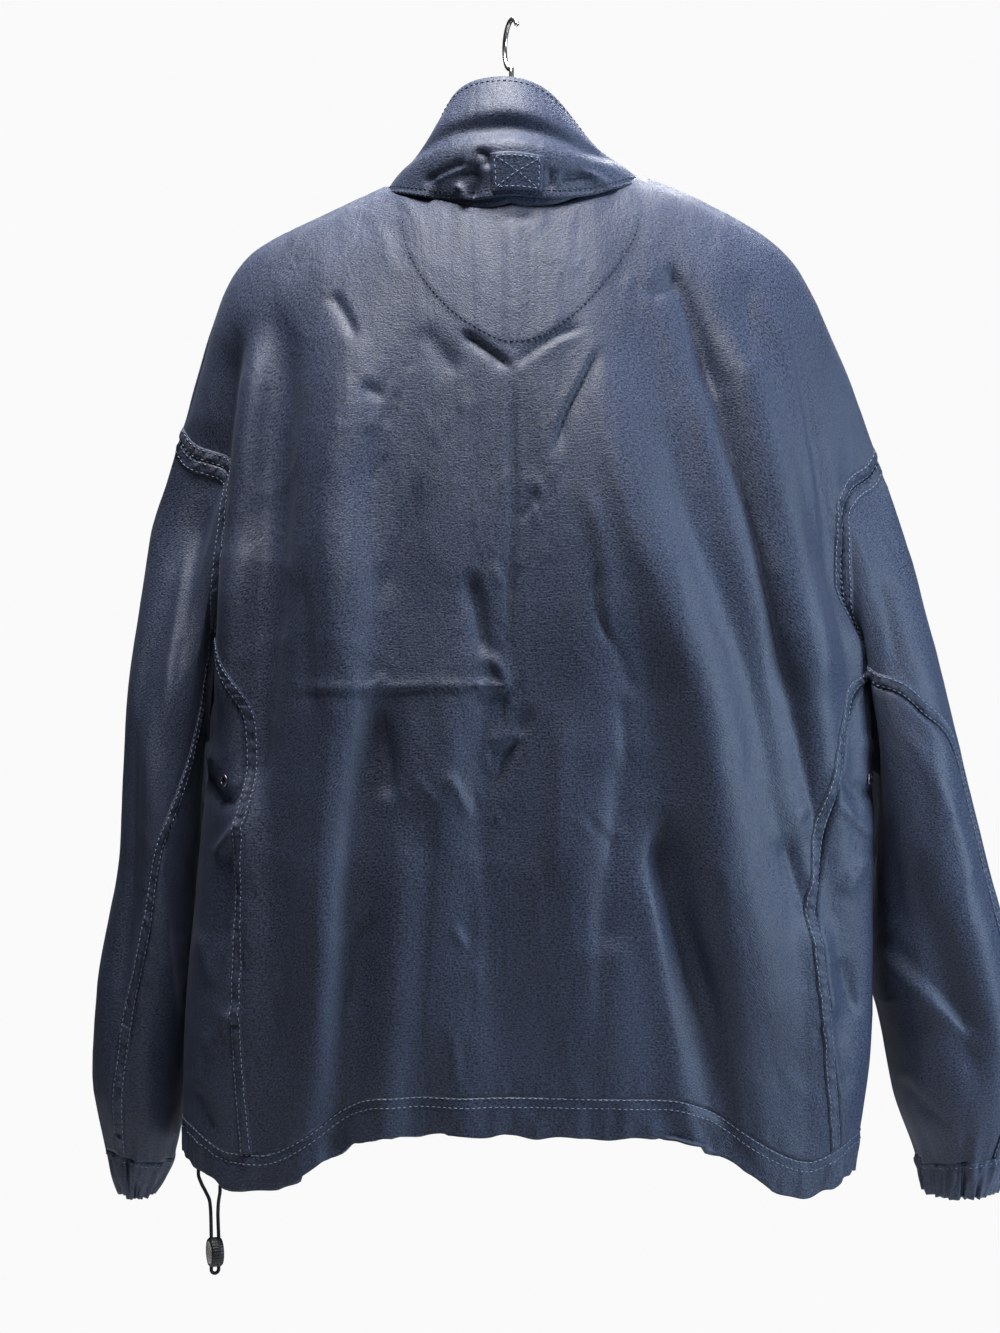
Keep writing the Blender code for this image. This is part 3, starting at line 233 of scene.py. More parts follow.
# The collar's top edge round the neck: 0 at the centre back, 1 at the sides, 2 in front
COLLAR_TOP = Table("turn left_z right_z left_x right_x depth", [
    (0.0, -0.0575, -0.0575, 0.062, 0.062, 0.052),
    (0.25, -0.0585, -0.0645, 0.062, 0.062, 0.052),
    (0.5, -0.066, -0.083, 0.062, 0.062, 0.052),
    (0.75, -0.0895, -0.101, 0.061, 0.063, 0.052),
    (1.0, -0.113, -0.113, 0.06, 0.064, 0.052),
    (1.5, -0.126, -0.126, 0.058, 0.062, 0.05),
    (2.0, -0.132, -0.132, 0.058, 0.058, 0.05),
])
FLAP = Table("turn lift bulge crease", [
    (0.0, 0.0095, 0.012, 0.012),
    (0.5, 0.007, 0.01, 0.006),
    (1.0, 0.003, 0.008, 0.0),
    (2.0, 0.004, 0.006, 0.0),
])
CREASE_AT = 0.4
CREASE_HALF = 0.085
STAND_BULGE = 0.002


def rise(low, high, value):
    """0 below low, 1 above high, and an S-curve between them."""
    w = np.clip((value - low) / (high - low), 0, 1)
    return w * w * (3 - 2 * w)


def unit(vectors):
    """Vectors brought to length 1."""
    length = np.linalg.norm(vectors, axis=-1, keepdims=True)
    return vectors / np.maximum(length, 1e-12)


def together(*values):
    """Values as arrays of floats that share one shape."""
    return np.broadcast_arrays(*(np.asarray(value, float) for value in values))


def grid_of(columns, rows):
    """Two arrays for a grid: the column's value and the row's value at each of its points."""
    return np.broadcast_arrays(columns[None, :], rows[:, None])


def arc_length(points):
    """Distance along a line of points from its first one."""
    return np.concatenate([[0], np.cumsum(np.linalg.norm(np.diff(points, axis=0), axis=1))])


def normals_of(surface, across, down, step=2e-4):
    """Outward unit normals of surface(across, down); across runs to the right, seen from outside."""
    along = surface(across + step, down) - surface(across - step, down)
    fall = surface(across, down + step) - surface(across, down - step)
    return unit(np.cross(fall, along))


def fold_height(folds, x, z):
    """The sum of soft ridges and troughs along bowed lines in the x-z plane."""
    total = np.zeros_like(x)
    for fold in folds:
        w = (fold["z_top"] - z) / (fold["z_top"] - fold["z_bottom"])
        line = fold["x_top"] + (fold["x_bottom"] - fold["x_top"]) * w + 4 * fold["bow"] * w * (1 - w)
        ends = rise(0, 0.18, w) * rise(0, 0.12, 1 - w)
        total += fold["height"] * ends * np.exp(-(((x - line) / fold["half_width"]) ** 2))
    return total


def body_form(angle, down):
    """Boxed ellipses round the body; the angle is 0 at the centre back and 90 degrees at the right."""
    angle, down = together(angle, down)
    sine, cosine = np.sin(angle), np.cos(angle)
    box = BODY.at("box", down)
    reach = (np.abs(sine) ** box + np.abs(cosine) ** box) ** (-1 / box)
    u = np.abs(reach * sine)
    depth = np.where(cosine > 0, BODY.at("back_depth", down), BODY.at("front_depth", down))
    x = BODY.at("half_width", down) * reach * sine + BODY.at("shift", down) * u**2
    y = -depth * reach * cosine
    sag = np.where(sine > 0, rise(0.44, 0.84, u), rise(0.37, 0.74, u)) - 0.4 * rise(0.82, 1.0, u)
    z = BODY.at("centre_z", down) - BODY.at("slope", down) * u - BODY.at("fall", down) * u**10
    z = z - BODY.at("dip", down) * sag - BODY.at("right_drop", down) * np.where(sine > 0, u**2, 0)
    ridge = np.where(sine > 0, RIDGE.at("right", u), RIDGE.at("left", u))
    z = z + ridge * (1 - rise(0, RIDGE_FADE, down))
    return np.stack([x, y, z], axis=-1)


def body(angle, down):
    """The body's form with its largest folds, which fade at the ridge and at the sides."""
    angle, down = together(angle, down)
    place = body_form(angle, down)
    x, z = place[..., 0], place[..., 2]
    cosine = np.cos(angle)
    height = np.where(cosine > 0, fold_height(BACK_FOLDS, x, z), fold_height(FRONT_FOLDS, x, z))
    height = height * rise(0.02, 0.3, np.abs(cosine)) * rise(0, 0.12, down)
    return place + height[..., None] * normals_of(body_form, angle, down)


def panel_angle(share, down):
    """The angle of a column that lies at a share of the way from the centre back to the panel's edge."""
    edge = np.where(share < 0, EDGE.at("left", down), EDGE.at("right", down))
    guide = EDGE.at("guide", down)
    return np.radians(guide * share + (edge - guide) * share**5)


def front_angle(share, down):
    """The same on the front, where the shares still run from left to right seen from behind."""
    return np.sign(share) * math.pi - panel_angle(share, down)


NECK_SHARE = math.asin(NECK_HALF / BODY.columns["half_width"][0]) / (math.pi / 2)


def neck_place(turn, out=1.0, lower=1.0):
    """Angle and height on the body of the neck seam, from 0 at the centre back to 2 in front."""
    turn = np.asarray(turn, float)
    away = np.where(np.abs(turn) <= 1, np.abs(turn), 2 - np.abs(turn))
    share = np.sign(turn) * away * NECK_SHARE * out
    deep = np.where(np.abs(turn) <= 1, NECK_BACK, NECK_FRONT) * lower
    down = deep * (1 - away**2)
    behind = panel_angle(share, down)
    return np.where(np.abs(turn) <= 1, behind, np.sign(turn) * math.pi - behind), down


def outward(turn):
    """The level direction out from the neck's axis."""
    angle = np.asarray(turn, float) * math.pi / 2
    return np.stack([np.sin(angle), -np.cos(angle), np.zeros_like(angle)], axis=-1)


def collar_top(turn):
    """Points of the collar's top edge round the neck."""
    turn = np.asarray(turn, float)
    away = np.abs(turn)
    across = np.where(turn < 0, COLLAR_TOP.at("left_x", away), COLLAR_TOP.at("right_x", away))
    height = np.where(turn < 0, COLLAR_TOP.at("left_z", away), COLLAR_TOP.at("right_z", away))
    level = outward(turn)
    deep = COLLAR_TOP.at("depth", away)
    return np.stack([level[..., 0] * across, level[..., 1] * deep, height], axis=-1)


def stand(turn, down):
    """The collar's standing wall: straight from the neck seam to the top edge, with a slight bulge."""
    turn, down = together(turn, down)
    angle, depth = neck_place(turn)
    d = down[..., None]
    bulge = STAND_BULGE * np.sin(math.pi * np.clip(d, 0, 1))
    return collar_top(turn) * (1 - d) + body(angle, depth) * d + bulge * outward(turn)


def flap(turn, down):
    """The outer leaf from the collar's top to its free edge, which lies over the neck seam."""
    turn, down = together(turn, down)
    away = np.abs(turn)
    angle, depth = neck_place(turn, FLAP_REACH_OUT, FLAP_REACH_DOWN)
    lift = FLAP.at("lift", away)[..., None]
    edge = body(angle, depth) + lift * normals_of(body, angle, np.maximum(depth, 1e-3))
    top = collar_top(turn) + (FLAP_CLEAR + CLOTH) * normals_of(stand, turn, np.full_like(turn, 2e-3))
    d = down[..., None]
    wave = FLAP.at("bulge", away) * np.sin(math.pi * np.clip(down, 0, 1))
    wave = wave - FLAP.at("crease", away) * np.exp(-(((down - CREASE_AT) / CREASE_HALF) ** 2))
    return top * (1 - d) + edge * d + wave[..., None] * outward(turn)


def armhole(side, turn):
    """The armhole's loop on the body; its turn is 0 on the shoulder, + behind, pi under the arm."""
    turn = np.asarray(turn, float)
    size = np.abs(turn)
    corner = math.pi - GUSSET_TURN
    down = ARMHOLE_DOWN * (1 - np.cos(np.minimum(size, corner))) / (1 - math.cos(corner))
    left = np.clip((math.pi - size) / GUSSET_TURN, 0, 1)
    under = size > corner
    down = np.where(under, ARMHOLE_DOWN + GUSSET_DROP * (1 - left**2), down)
    edge = np.radians(EDGE.at(side, down))
    angle = np.where(under, math.pi / 2 - GUSSET_SPREAD * left, edge)
    angle = np.where(turn < 0, math.pi - angle, angle)
    return SIDES[side] * angle, down


def sleeve_ring(side, turn, along):
    """Boxed ellipses between a sleeve's outer and inner lines."""
    table = SLEEVES[side]
    box = SLEEVE_BOX
    reach = (np.abs(np.sin(turn)) ** box + np.abs(np.cos(turn)) ** box) ** (-1 / box)
    outer_x, outer_z = table.at("outer_x", along), table.at("outer_z", along)
    inner_x, inner_z = table.at("inner_x", along), table.at("inner_z", along)
    share = (1 + reach * np.cos(turn)) / 2
    x = SIDES[side] * (inner_x + (outer_x - inner_x) * share)
    z = inner_z + (outer_z - inner_z) * share
    y = table.at("forward", along) - table.at("depth", along) * reach * np.sin(turn)
    return np.stack([x, y, z], axis=-1)


def sleeve(side, turn, along):
    """Boxed ellipses down the sleeve, drawn to the armhole's loop at its head, with its folds."""
    turn, along = together(turn, along)
    wrapped = (turn + math.pi) % (2 * math.pi) - math.pi
    angle, down = armhole(side, wrapped)
    drawn = body(angle, down) - sleeve_ring(side, turn, np.zeros_like(along))
    fade = 1 - rise(0, LOOP_FADE, along)
    place = sleeve_ring(side, turn, along) + fade[..., None] * drawn
    axis = 0.5 * (sleeve_ring(side, 0.0, along) + sleeve_ring(side, math.pi, along))
    height = np.zeros_like(turn)
    for fold in SLEEVE_FOLDS[side]:
        w = (along - fold["start"]) / (fold["end"] - fold["start"])
        line = np.radians(fold["turn_start"] + (fold["turn_end"] - fold["turn_start"]) * w)
        away = (turn - line + math.pi) % (2 * math.pi) - math.pi
        ends = rise(0, 0.25, w) * rise(0, 0.25, 1 - w)
        spread = np.exp(-((away / math.radians(fold["half_turn"])) ** 2))
        height = height + fold["height"] * ends * spread
    return place + height[..., None] * unit(place - axis)


def smooth_route(points, count):
    """Points spaced along a smooth curve through a route's own points."""
    points = np.array(points)
    length = arc_length(points)
    rows = [(at, *point) for at, point in zip(length, points)]
    route = Table("at x y z", rows)
    at = np.linspace(0, length[-1], count)
    return np.stack([route.at(axis, at) for axis in "xyz"], axis=-1)


# Creases, given one by one: half width, height and lean in millimetres, then the line's points as
# (across, up) in millimetres. Lean lifts one side of the line and sinks the other.
BACK_CREASES = [
    (3.6, -2.4, 2.6, (-42, -266), (-22, -280), (4, -300)),
    (3.4, -1.6, -2.2, (0, -300), (20, -284), (40, -272), (58, -266)),
    (3.6, -2.0, -2.4, (67, -280), (57, -305), (42, -335), (30, -372)),
    (2.8, -1.8, 1.2, (2, -290), (1, -348), (2, -418), (-1, -470), (-3, -520)),
    (2.8, 1.2, 1.2, (-190, -549), (-126, -550), (-64, -548), (10, -550)),
    (3.0, 2.0, 1.6, (-34, -549), (-18, -548), (0, -550)),
    (7.0, -3.0, 2.4, (-32, -455), (-24, -490), (-19, -530)),
    (3.0, -1.6, 1.4, (66, -450), (68, -490), (80, -520)),
    (4.7, 1.6, 1.2, (-20, -523), (-9, -536), (-3, -552)),
    (5.5, 1.5, 1.5, (-23, -592), (-6, -590), (11, -585)),
    (4.7, 1.6, -1.2, (-50, -613), (-41, -628), (-30, -652)),
    (3.9, 1.4, -1.0, (-45, -733), (-35, -752)),
    (6.2, -1.6, 1.0, (19, -560), (6, -585), (-6, -609), (-17, -638)),
    (7.0, -2.5, 1.5, (-106, -558), (-95, -605), (-94, -640)),
    (4.7, -1.6, -1.0, (-108, -723), (-119, -748), (-122, -777), (-131, -814)),
    (4.7, 0.8, 0.8, (-98, -535), (-119, -557)),
    (3.9, 0.5, -1.2, (-44, -812), (-41, -861)),
    (7.8, 1.0, -0.8, (-30, -660), (-25, -730), (-30, -796)),
    (4.7, -2.0, 1.2, (-145, -230), (-133, -250), (-121, -274)),
    (5.5, -1.5, 0.0, (-119, -311), (-100, -320)),
    (9.4, -1.5, 1.0, (-72, -260), (-56, -281), (-39, -302)),
    (5.5, -2.0, 1.0, (108, -237), (119, -231), (131, -227)),
    (7.0, -3.0, 1.5, (122, -209), (136, -231), (152, -280), (164, -324)),
    (7.0, 2.0, -3.0, (211, -224), (227, -301), (240, -371), (261, -465)),
    (7.8, -1.5, 0.0, (188, -211), (190, -254), (191, -301)),
    (10.9, -1.5, -0.8, (86, -597), (76, -667), (69, -730), (62, -858)),
    (9.4, -4.0, 1.5, (122, -636), (119, -680), (131, -723), (147, -770), (170, -844)),
    (4.7, -0.8, 0.6, (78, -508), (97, -555)),
    (6.2, -1.2, 0.0, (84, -550), (90, -617)),
    (9.4, -4.0, 0.0, (217, -660), (228, -699), (245, -753)),
    (3.9, -1.0, 0.0, (-9, -175), (6, -174), (19, -174)),
    (9.4, 1.5, 1.0, (39, -558), (34, -636), (31, -714)),
    (7.8, -1.2, 0.8, (-165, -449), (-158, -511), (-156, -574)),
    (7.0, 1.2, -1.0, (-151, -667), (-165, -738), (-175, -808)),
    (7.8, -1.5, -1.0, (-72, -379), (-87, -433), (-109, -488)),
    (7.8, 1.2, 0.8, (53, -387), (69, -449), (73, -511)),
]
# Long folds of the hanging back, from left to right, in mm: each row is a valley or a ridge,
# with its places across and its heights at these levels
FOLD_LEVELS = np.array([-168, -246, -324, -402, -480, -558, -675, -792, -870]) * MM
FOLD_GAIN = 1.3
# The share of the slope between two folds that is straight
FOLD_STRAIGHT = 0.3
LONG_FOLDS = [
    ((-204, -222, -234, -240, -247, -247, -243, -236, -232), (0, -3, -4, -4, -4, -3, -2, -1, 0)),
    ((-195, -204, -212, -218, -223, -225, -215, -209, -208), (1, 5, 6, 6, 5, 3, 2, 1, 0)),
    ((-181, -189, -192, -193, -197, -198, -193, -190, -189), (0, -3, -5, -5, -5, -4, -4, -3, -1)),
    ((-126, -133, -137, -144, -140, -139, -148, -151, -153), (2, 5, 7, 7, 7, 6, 6, 4, 1)),
    ((-72, -84, -94, -109, -104, -108, -125, -130, -133), (0, -2, -4, -5, -5, -4, -4, -3, -1)),
    ((-25, -27, -33, -37, -39, -44, -55, -64, -68), (0, 0, 0, 0, 1, 5, 6, 5, 2)),
    ((14, 10, 2, 0, -5, -16, -23, -31, -34), (0, 1, 2, 2, 1, -2, -4, -4, -1)),
    ((37, 37, 34, 42, 61, 69, 72, 78, 81), (1, 3, 5, 6, 6, 4, 4, 4, 1)),
    ((53, 51, 53, 65, 90, 109, 119, 131, 139), (2, 3, 7, 8, 7, 0, -2, -2, -1)),
    ((69, 62, 69, 86, 119, 147, 164, 182, 190), (2, 5, 9, 10, 10, 9, 5, 4, 1)),
    ((108, 115, 122, 137, 168, 192, 213, 228, 234), (0, -2, -5, -6, -6, -5, -3, -2, -1)),
    ((139, 164, 184, 197, 214, 236, 245, 253, 256), (2, 6, 9, 9, 8, 6, 3, 2, 1)),
    ((201, 215, 234, 247, 262, 276, 278, 281, 282), (0, -3, -5, -6, -5, -4, -2, -1, 0)),
    ((225, 229, 250, 264, 278, 290, 292, 293, 295), (0, 3, 5, 5, 4, 2, 1, 0, 0)),
]
# Where the back is crumpled, in mm: the middle of each patch, its half width and half height,
# and the count of its creases
CRUMPLED = [
    (2, -404, 30, 18, 12),
    (-90, -335, 45, 50, 12),
    (-15, -490, 25, 45, 8),
    (-55, -610, 60, 50, 10),
    (112, -235, 26, 24, 7),
    (-205, -770, 26, 110, 10),
    (250, -740, 20, 110, 8),
    (70, -640, 60, 60, 5),
]
LEFT_CREASES = [
    (5.5, -3.0, 2.0, (-254, -616), (-240, -630), (-211, -642)),
    (5.5, 2.0, -2.0, (-241, -684), (-226, -667), (-211, -653)),
    (7.0, -2.5, 1.0, (-222, -664), (-226, -714), (-232, -765)),
    (3.9, 1.2, -0.8, (-254, -742), (-245, -766), (-236, -789)),
    (3.9, 1.5, 0.8, (-234, -814), (-223, -809), (-211, -803)),
    (4.7, 1.5, 1.2, (-245, -842), (-232, -825), (-217, -806)),
    (5.5, -2.0, 1.0, (-254, -865), (-245, -886), (-236, -906)),
    (4.7, 1.5, 1.5, (-254, -614), (-244, -606), (-233, -617)),
    (6.2, -2.0, 0.0, (-215, -683), (-218, -730), (-212, -792)),
]
RIGHT_CREASES = [
    (4.7, -2.5, 1.5, (260, -619), (276, -628), (299, -636)),
    (4.7, 2.0, -1.5, (264, -714), (275, -699), (287, -681)),
    (5.5, -2.0, 1.0, (264, -764), (270, -784), (279, -816)),
    (5.5, 2.0, 1.0, (262, -645), (276, -655), (290, -674)),
    (4.7, 1.5, -1.0, (276, -585), (287, -593), (298, -599)),
    (6.2, -2.5, 0.0, (254, -800), (264, -839), (273, -878)),
]
SLEEVE_LEFT_CREASES = [
    (7.0, 1.5, -2.0, (-282, -683), (-278, -780), (-270, -879)),
    (7.8, -2.0, 0.0, (-251, -387), (-262, -465), (-271, -550)),
    (7.0, 2.0, 1.5, (-265, -418), (-276, -511), (-282, -605)),
    (6.2, -1.8, 1.0, (-312, -823), (-312, -862), (-303, -901)),
    (6.2, 1.5, 1.0, (-296, -714), (-301, -792), (-295, -870)),
]
SLEEVE_RIGHT_CREASES = [
    (7.0, 2.0, -4.0, (292, -749), (322, -780), (353, -812), (388, -845)),
    (9.4, -2.5, 1.5, (299, -648), (309, -699), (323, -761)),
    (7.0, 1.2, -1.0, (314, -574), (349, -636), (381, -718)),
    (6.2, -1.5, 1.0, (326, -870), (342, -894), (361, -909)),
    (7.0, -1.2, 0.8, (295, -449), (307, -496), (314, -550)),
    (6.2, 1.5, 0.0, (334, -823), (337, -862), (331, -901)),
]
COLLAR_CREASES = [
    (5.5, -2.5, 1.5, (-73, -143), (-52, -135), (-33, -129)),
    (4.7, 2.0, 1.0, (-68, -145), (-48, -137), (-27, -134)),
    (5.5, -3.0, 1.0, (-36, -129), (-28, -145), (-33, -165)),
    (3.9, 1.8, -1.2, (-47, -146), (-39, -151), (-36, -160)),
    (4.7, -2.0, 1.0, (-30, -120), (-20, -126), (-17, -137)),
    (4.7, -2.0, 1.0, (37, -143), (51, -140), (67, -137)),
    (4.7, 1.5, -1.0, (53, -135), (69, -138), (86, -149)),
    (6.2, -2.5, 0.0, (-69, -153), (-56, -157), (-39, -160)),
    (4.7, -1.5, 0.0, (30, -153), (31, -143), (30, -134)),
]
# The front is like the back, with fewer and softer ones
FRONT_CREASES = [
    (9.0, -2.0, 1.2, (-190, -300), (-200, -400), (-214, -500)),
    (7.0, 1.6, -1.2, (-120, -330), (-126, -450), (-140, -560)),
    (8.0, -2.0, 1.0, (-96, -600), (-104, -700), (-112, -820)),
    (6.0, 1.4, 1.2, (-60, -520), (-72, -560), (-92, -590)),
    (8.0, -2.4, -1.0, (64, -640), (78, -740), (84, -850)),
    (6.0, 1.2, 1.0, (90, -430), (112, -520), (120, -600)),
    (9.0, -2.6, 1.4, (176, -290), (196, -420), (222, -540)),
    (5.0, 0.8, 0.6, (-200, -552), (-120, -556), (-30, -552)),
    (7.0, 1.4, -1.2, (150, -700), (160, -780), (158, -860)),
    (6.0, -1.4, 0.8, (40, -470), (52, -520), (48, -570)),
    (7.0, 1.5, 1.0, (-36, -690), (-30, -760), (-40, -840)),
]


def named_creases(rows):
    """Crease rows as records in metres."""
    return [
        {"width": w * MM, "height": h * MM, "lean": k * MM, "line": smooth_line(np.array(points) * MM)}
        for w, h, k, *points in rows
    ]


def scattered(clusters, seed):
    """Rows of small creases, each at a random place and slant inside its cluster."""
    draw = np.random.default_rng(seed)
    rows = []
    for x, z, half_wide, half_tall, count in clusters:
        for _ in range(count):
            middle = np.array([x + half_wide * draw.uniform(-1, 1), z + half_tall * draw.uniform(-1, 1)])
            slant, half = draw.uniform(-0.8, 0.8), draw.uniform(7, 20)
            step = half * np.array([math.sin(slant), -math.cos(slant)])
            bend = 0.25 * half * draw.uniform(-1, 1) * np.array([math.cos(slant), math.sin(slant)])
            tall = draw.uniform(0.2, 0.7) * draw.choice([-1, 1])
            points = (middle - step, middle + bend, middle + step)
            rows.append((draw.uniform(2.2, 3.6), tall, -1.5 * tall, *points))
    return rows


def smooth_line(points, steps=6):
    """A Catmull-Rom curve through points in a plane: cubic pieces whose slopes look at the neighbours."""
    padded = np.concatenate([2 * points[:1] - points[1:2], points, 2 * points[-1:] - points[-2:-1]])
    a, b, c, d = (padded[i : len(padded) - 3 + i, None] for i in range(4))
    t = np.linspace(0, 1, steps, endpoint=False)[None, :, None]
    curve = b + 0.5 * t * (c - a) + t**2 * (a - 2.5 * b + 2 * c - 0.5 * d)
    curve = curve + t**3 * (1.5 * (b - c) + 0.5 * (d - a))
    return np.concatenate([curve.reshape(-1, points.shape[1]), points[-1:]])


CREASE_GAIN = 1.9
END_FADE = 0.25
# A crease this wide is wholly round on top, and a narrow one keeps this much of a round
BROAD = 0.016
SHARPEST = 0.14


def crease_relief(creases, x, z):
    """Heights of creases: a sharp ridge over each line plus one that leans, fading at the line's ends."""
    total = np.zeros_like(x)
    for crease in creases:
        line, width = crease["line"], crease["width"]
        margin = 3.5 * width
        low, high = line.min(axis=0) - margin, line.max(axis=0) + margin
        near = (x > low[0]) & (x < high[0]) & (z > low[1]) & (z < high[1])
        if not near.any():
            continue
        px, pz = x[near], z[near]
        best, side, at = np.full(px.shape, 1.0), np.zeros(px.shape), np.zeros(px.shape)
        for k, (start, step) in enumerate(zip(line[:-1], np.diff(line, axis=0))):
            t = np.clip(((px - start[0]) * step[0] + (pz - start[1]) * step[1]) / (step @ step), 0, 1)
            dx, dz = px - start[0] - t * step[0], pz - start[1] - t * step[1]
            far = np.hypot(dx, dz)
            closer = far < best
            best = np.where(closer, far, best)
            side = np.where(closer, np.sign(step[0] * dz - step[1] * dx), side)
            at = np.where(closer, (k + t) / (len(line) - 1), at)
        s = best * side / width
        ends = rise(0, END_FADE, at) * rise(0, END_FADE, 1 - at)
        blunt = np.clip(width / BROAD, SHARPEST, 1)
        bell = np.exp(-1.5 * (np.hypot(s, blunt) - blunt))
        total[near] += ends * bell * (crease["height"] + crease["lean"] * s)
    return CREASE_GAIN * total


def fold_relief(folds, x, z):
    """Heights of long folds: at each level the cloth slopes from one line to the next, straight for the
    most part and rounded at the lines."""
    places, heights = [], []
    for across, tall in folds:
        line = Table("fall x tall", list(zip(-FOLD_LEVELS, np.array(across) * MM, np.array(tall) * MM)))
        places.append(line.at("x", -z))
        heights.append(line.at("tall", -z))
    total = heights[0]
    for k in range(len(folds) - 1):
        t = np.clip((x - places[k]) / (places[k + 1] - places[k]), 0, 1)
        slope = FOLD_STRAIGHT * t + (1 - FOLD_STRAIGHT) * rise(0, 1, t)
        total = total + (heights[k + 1] - heights[k]) * slope
    return FOLD_GAIN * total


NOISE_SIZE = 128


def mottle(a, b, seed):
    """Smooth noise from -1 to 1: random values on a unit lattice, eased from one to the next."""
    table = np.random.default_rng(seed).uniform(-1, 1, (NOISE_SIZE, NOISE_SIZE))
    a, b = np.broadcast_arrays(a, b)
    i, j = np.floor(a).astype(int), np.floor(b).astype(int)
    s, t = a - i, b - j
    s, t = s * s * (3 - 2 * s), t * t * (3 - 2 * t)
    near, far = (
        table[i % NOISE_SIZE, k % NOISE_SIZE] * (1 - s) + table[(i + 1) % NOISE_SIZE, k % NOISE_SIZE] * s
        for k in (j, j + 1)
    )
    return near * (1 - t) + far * t


# Sizes across and down, and heights, of the dents, furrows and wrinkles of thin cloth, and how far
# one bends the next
DENT, DENT_TALL = (0.06, 0.1), 0.0012
FURROW, FURROW_TALL = (0.034, 0.06), 0.0007
WRINKLE, WRINKLE_TALL = (0.015, 0.026), 0.00015
BENT = 0.8


def crumple(a, b, seed):
    """Unevenness of thin cloth: broad dents, and crooked ridges where a bent noise passes zero."""
    dent = mottle(a / DENT[0], b / DENT[1], seed)
    furrow = 1 - np.abs(mottle(a / FURROW[0] + BENT * dent, b / FURROW[1], seed + 1))
    wrinkle = 1 - np.abs(mottle(a / WRINKLE[0] + BENT * furrow, b / WRINKLE[1], seed + 2))
    return DENT_TALL * dent + FURROW_TALL * furrow**3 + WRINKLE_TALL * wrinkle**3


def grid_normals(grid, closed=False):
    """Outward unit normals of a grid whose rows run down and whose columns run to the right."""
    if closed:
        along = np.roll(grid, -1, axis=1) - np.roll(grid, 1, axis=1)
    else:
        along = np.gradient(grid, axis=1)
    return unit(np.cross(np.gradient(grid, axis=0), along))


def from_edge(grid, edge):
    """The grid turned so that its second index leads away from an edge and its first along it."""
    turned = {"left": grid, "right": grid[:, ::-1], "top": grid.swapaxes(0, 1)}
    turned["bottom"] = grid[::-1].swapaxes(0, 1)
    return turned[edge]


def to_edge(values, edge):
    """Undoes from_edge."""
    return values.swapaxes(0, 1)[::-1] if edge == "bottom" else from_edge(values, edge)


def run_lengths(grid, axis):
    """Distance along a grid's rows or columns from the first point of each."""
    steps = np.linalg.norm(np.diff(grid, axis=axis), axis=-1)
    first = np.zeros_like(np.take(steps, [0], axis=axis))
    return np.concatenate([first, np.cumsum(steps, axis=axis)], axis=axis)


# A pucker's width along the seam and reach from it, and how often puckers grow and fade
PUCKER_WIDE = 0.0062
PUCKER_LONG = 0.05
PUCKER_RUN = 0.04


def seam_relief(grid, edge, band, lift, pucker, seed):
    """A lapped seam: a raised band along an edge, and puckers across it that fade into the cloth."""
    turned = from_edge(grid, edge)
    far = run_lengths(turned, 1)
    run = run_lengths(turned[:, :1], 0)
    step = lift * (1 - rise(band - 0.002, band + 0.003, far))
    lively = 0.6 + 0.4 * mottle(run / PUCKER_RUN, 0 * far, seed + 1)
    wave = mottle(run / PUCKER_WIDE, far / PUCKER_LONG, seed) * lively
    return to_edge(step + pucker * wave * np.exp(-((far / (1.5 * band)) ** 2)), edge)


def line_beside(grid, edge, far):
    """Points and outward normals along a line at a distance inside an edge of a grid."""
    turned, out = from_edge(grid, edge), from_edge(grid_normals(grid), edge)
    away = run_lengths(turned, 1)
    i = np.clip((away <= far).sum(axis=1) - 1, 0, away.shape[1] - 2)[:, None]
    low, high = np.take_along_axis(away, i, 1), np.take_along_axis(away, i + 1, 1)
    w = ((far - low) / (high - low))[..., None]
    i = i[..., None]
    points = np.take_along_axis(turned, i, 1) * (1 - w) + np.take_along_axis(turned, i + 1, 1) * w
    return points[:, 0], np.take_along_axis(out, i, 1)[:, 0]


def line_on(grid, x, z):
    """Points and normals of a grid at places (x, z) seen from behind: the nearest, moved in its plane."""
    normals = grid_normals(grid)
    across, fall = np.gradient(grid, axis=1), np.gradient(grid, axis=0)
    flat = grid.reshape(-1, 3)
    facing = normals.reshape(-1, 3)[:, 1] < 0
    far = (flat[None, :, 0] - x[:, None]) ** 2 + (flat[None, :, 2] - z[:, None]) ** 2
    far = far + np.where(facing, 0, 1)
    k = np.argmin(far, axis=1)
    base, du, dv = flat[k], across.reshape(-1, 3)[k], fall.reshape(-1, 3)[k]
    ex, ez = x - base[:, 0], z - base[:, 2]
    area = du[:, 0] * dv[:, 2] - du[:, 2] * dv[:, 0]
    a = (ex * dv[:, 2] - ez * dv[:, 0]) / area
    b = (du[:, 0] * ez - du[:, 2] * ex) / area
    return base + a[:, None] * du + b[:, None] * dv, normals.reshape(-1, 3)[k]


def put(obj, node=None, body="garment"):
    """Links a finished piece, makes it ride on a body and stand for its CAD node."""
    bpy.context.scene.collection.objects.link(obj)
    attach(obj, body)
    if node:
        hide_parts(*([node] if isinstance(node, str) else node))
    return obj


def mesh_piece(name, points, faces, material, uv=None):
    """A smooth mesh from an array of points and a list of faces, with a UV map where one is given."""
    mesh = bpy.data.meshes.new(name)
    mesh.from_pydata(points.tolist(), [], faces)
    if uv is not None:
        layer = mesh.uv_layers.new(name="cloth")
        corners = np.zeros(len(mesh.loops), np.int32)
        mesh.loops.foreach_get("vertex_index", corners)
        layer.data.foreach_set("uv", uv[corners].astype(np.float32).ravel())
    mesh.shade_smooth()
    mesh.materials.append(material)
    return bpy.data.objects.new(name, mesh)


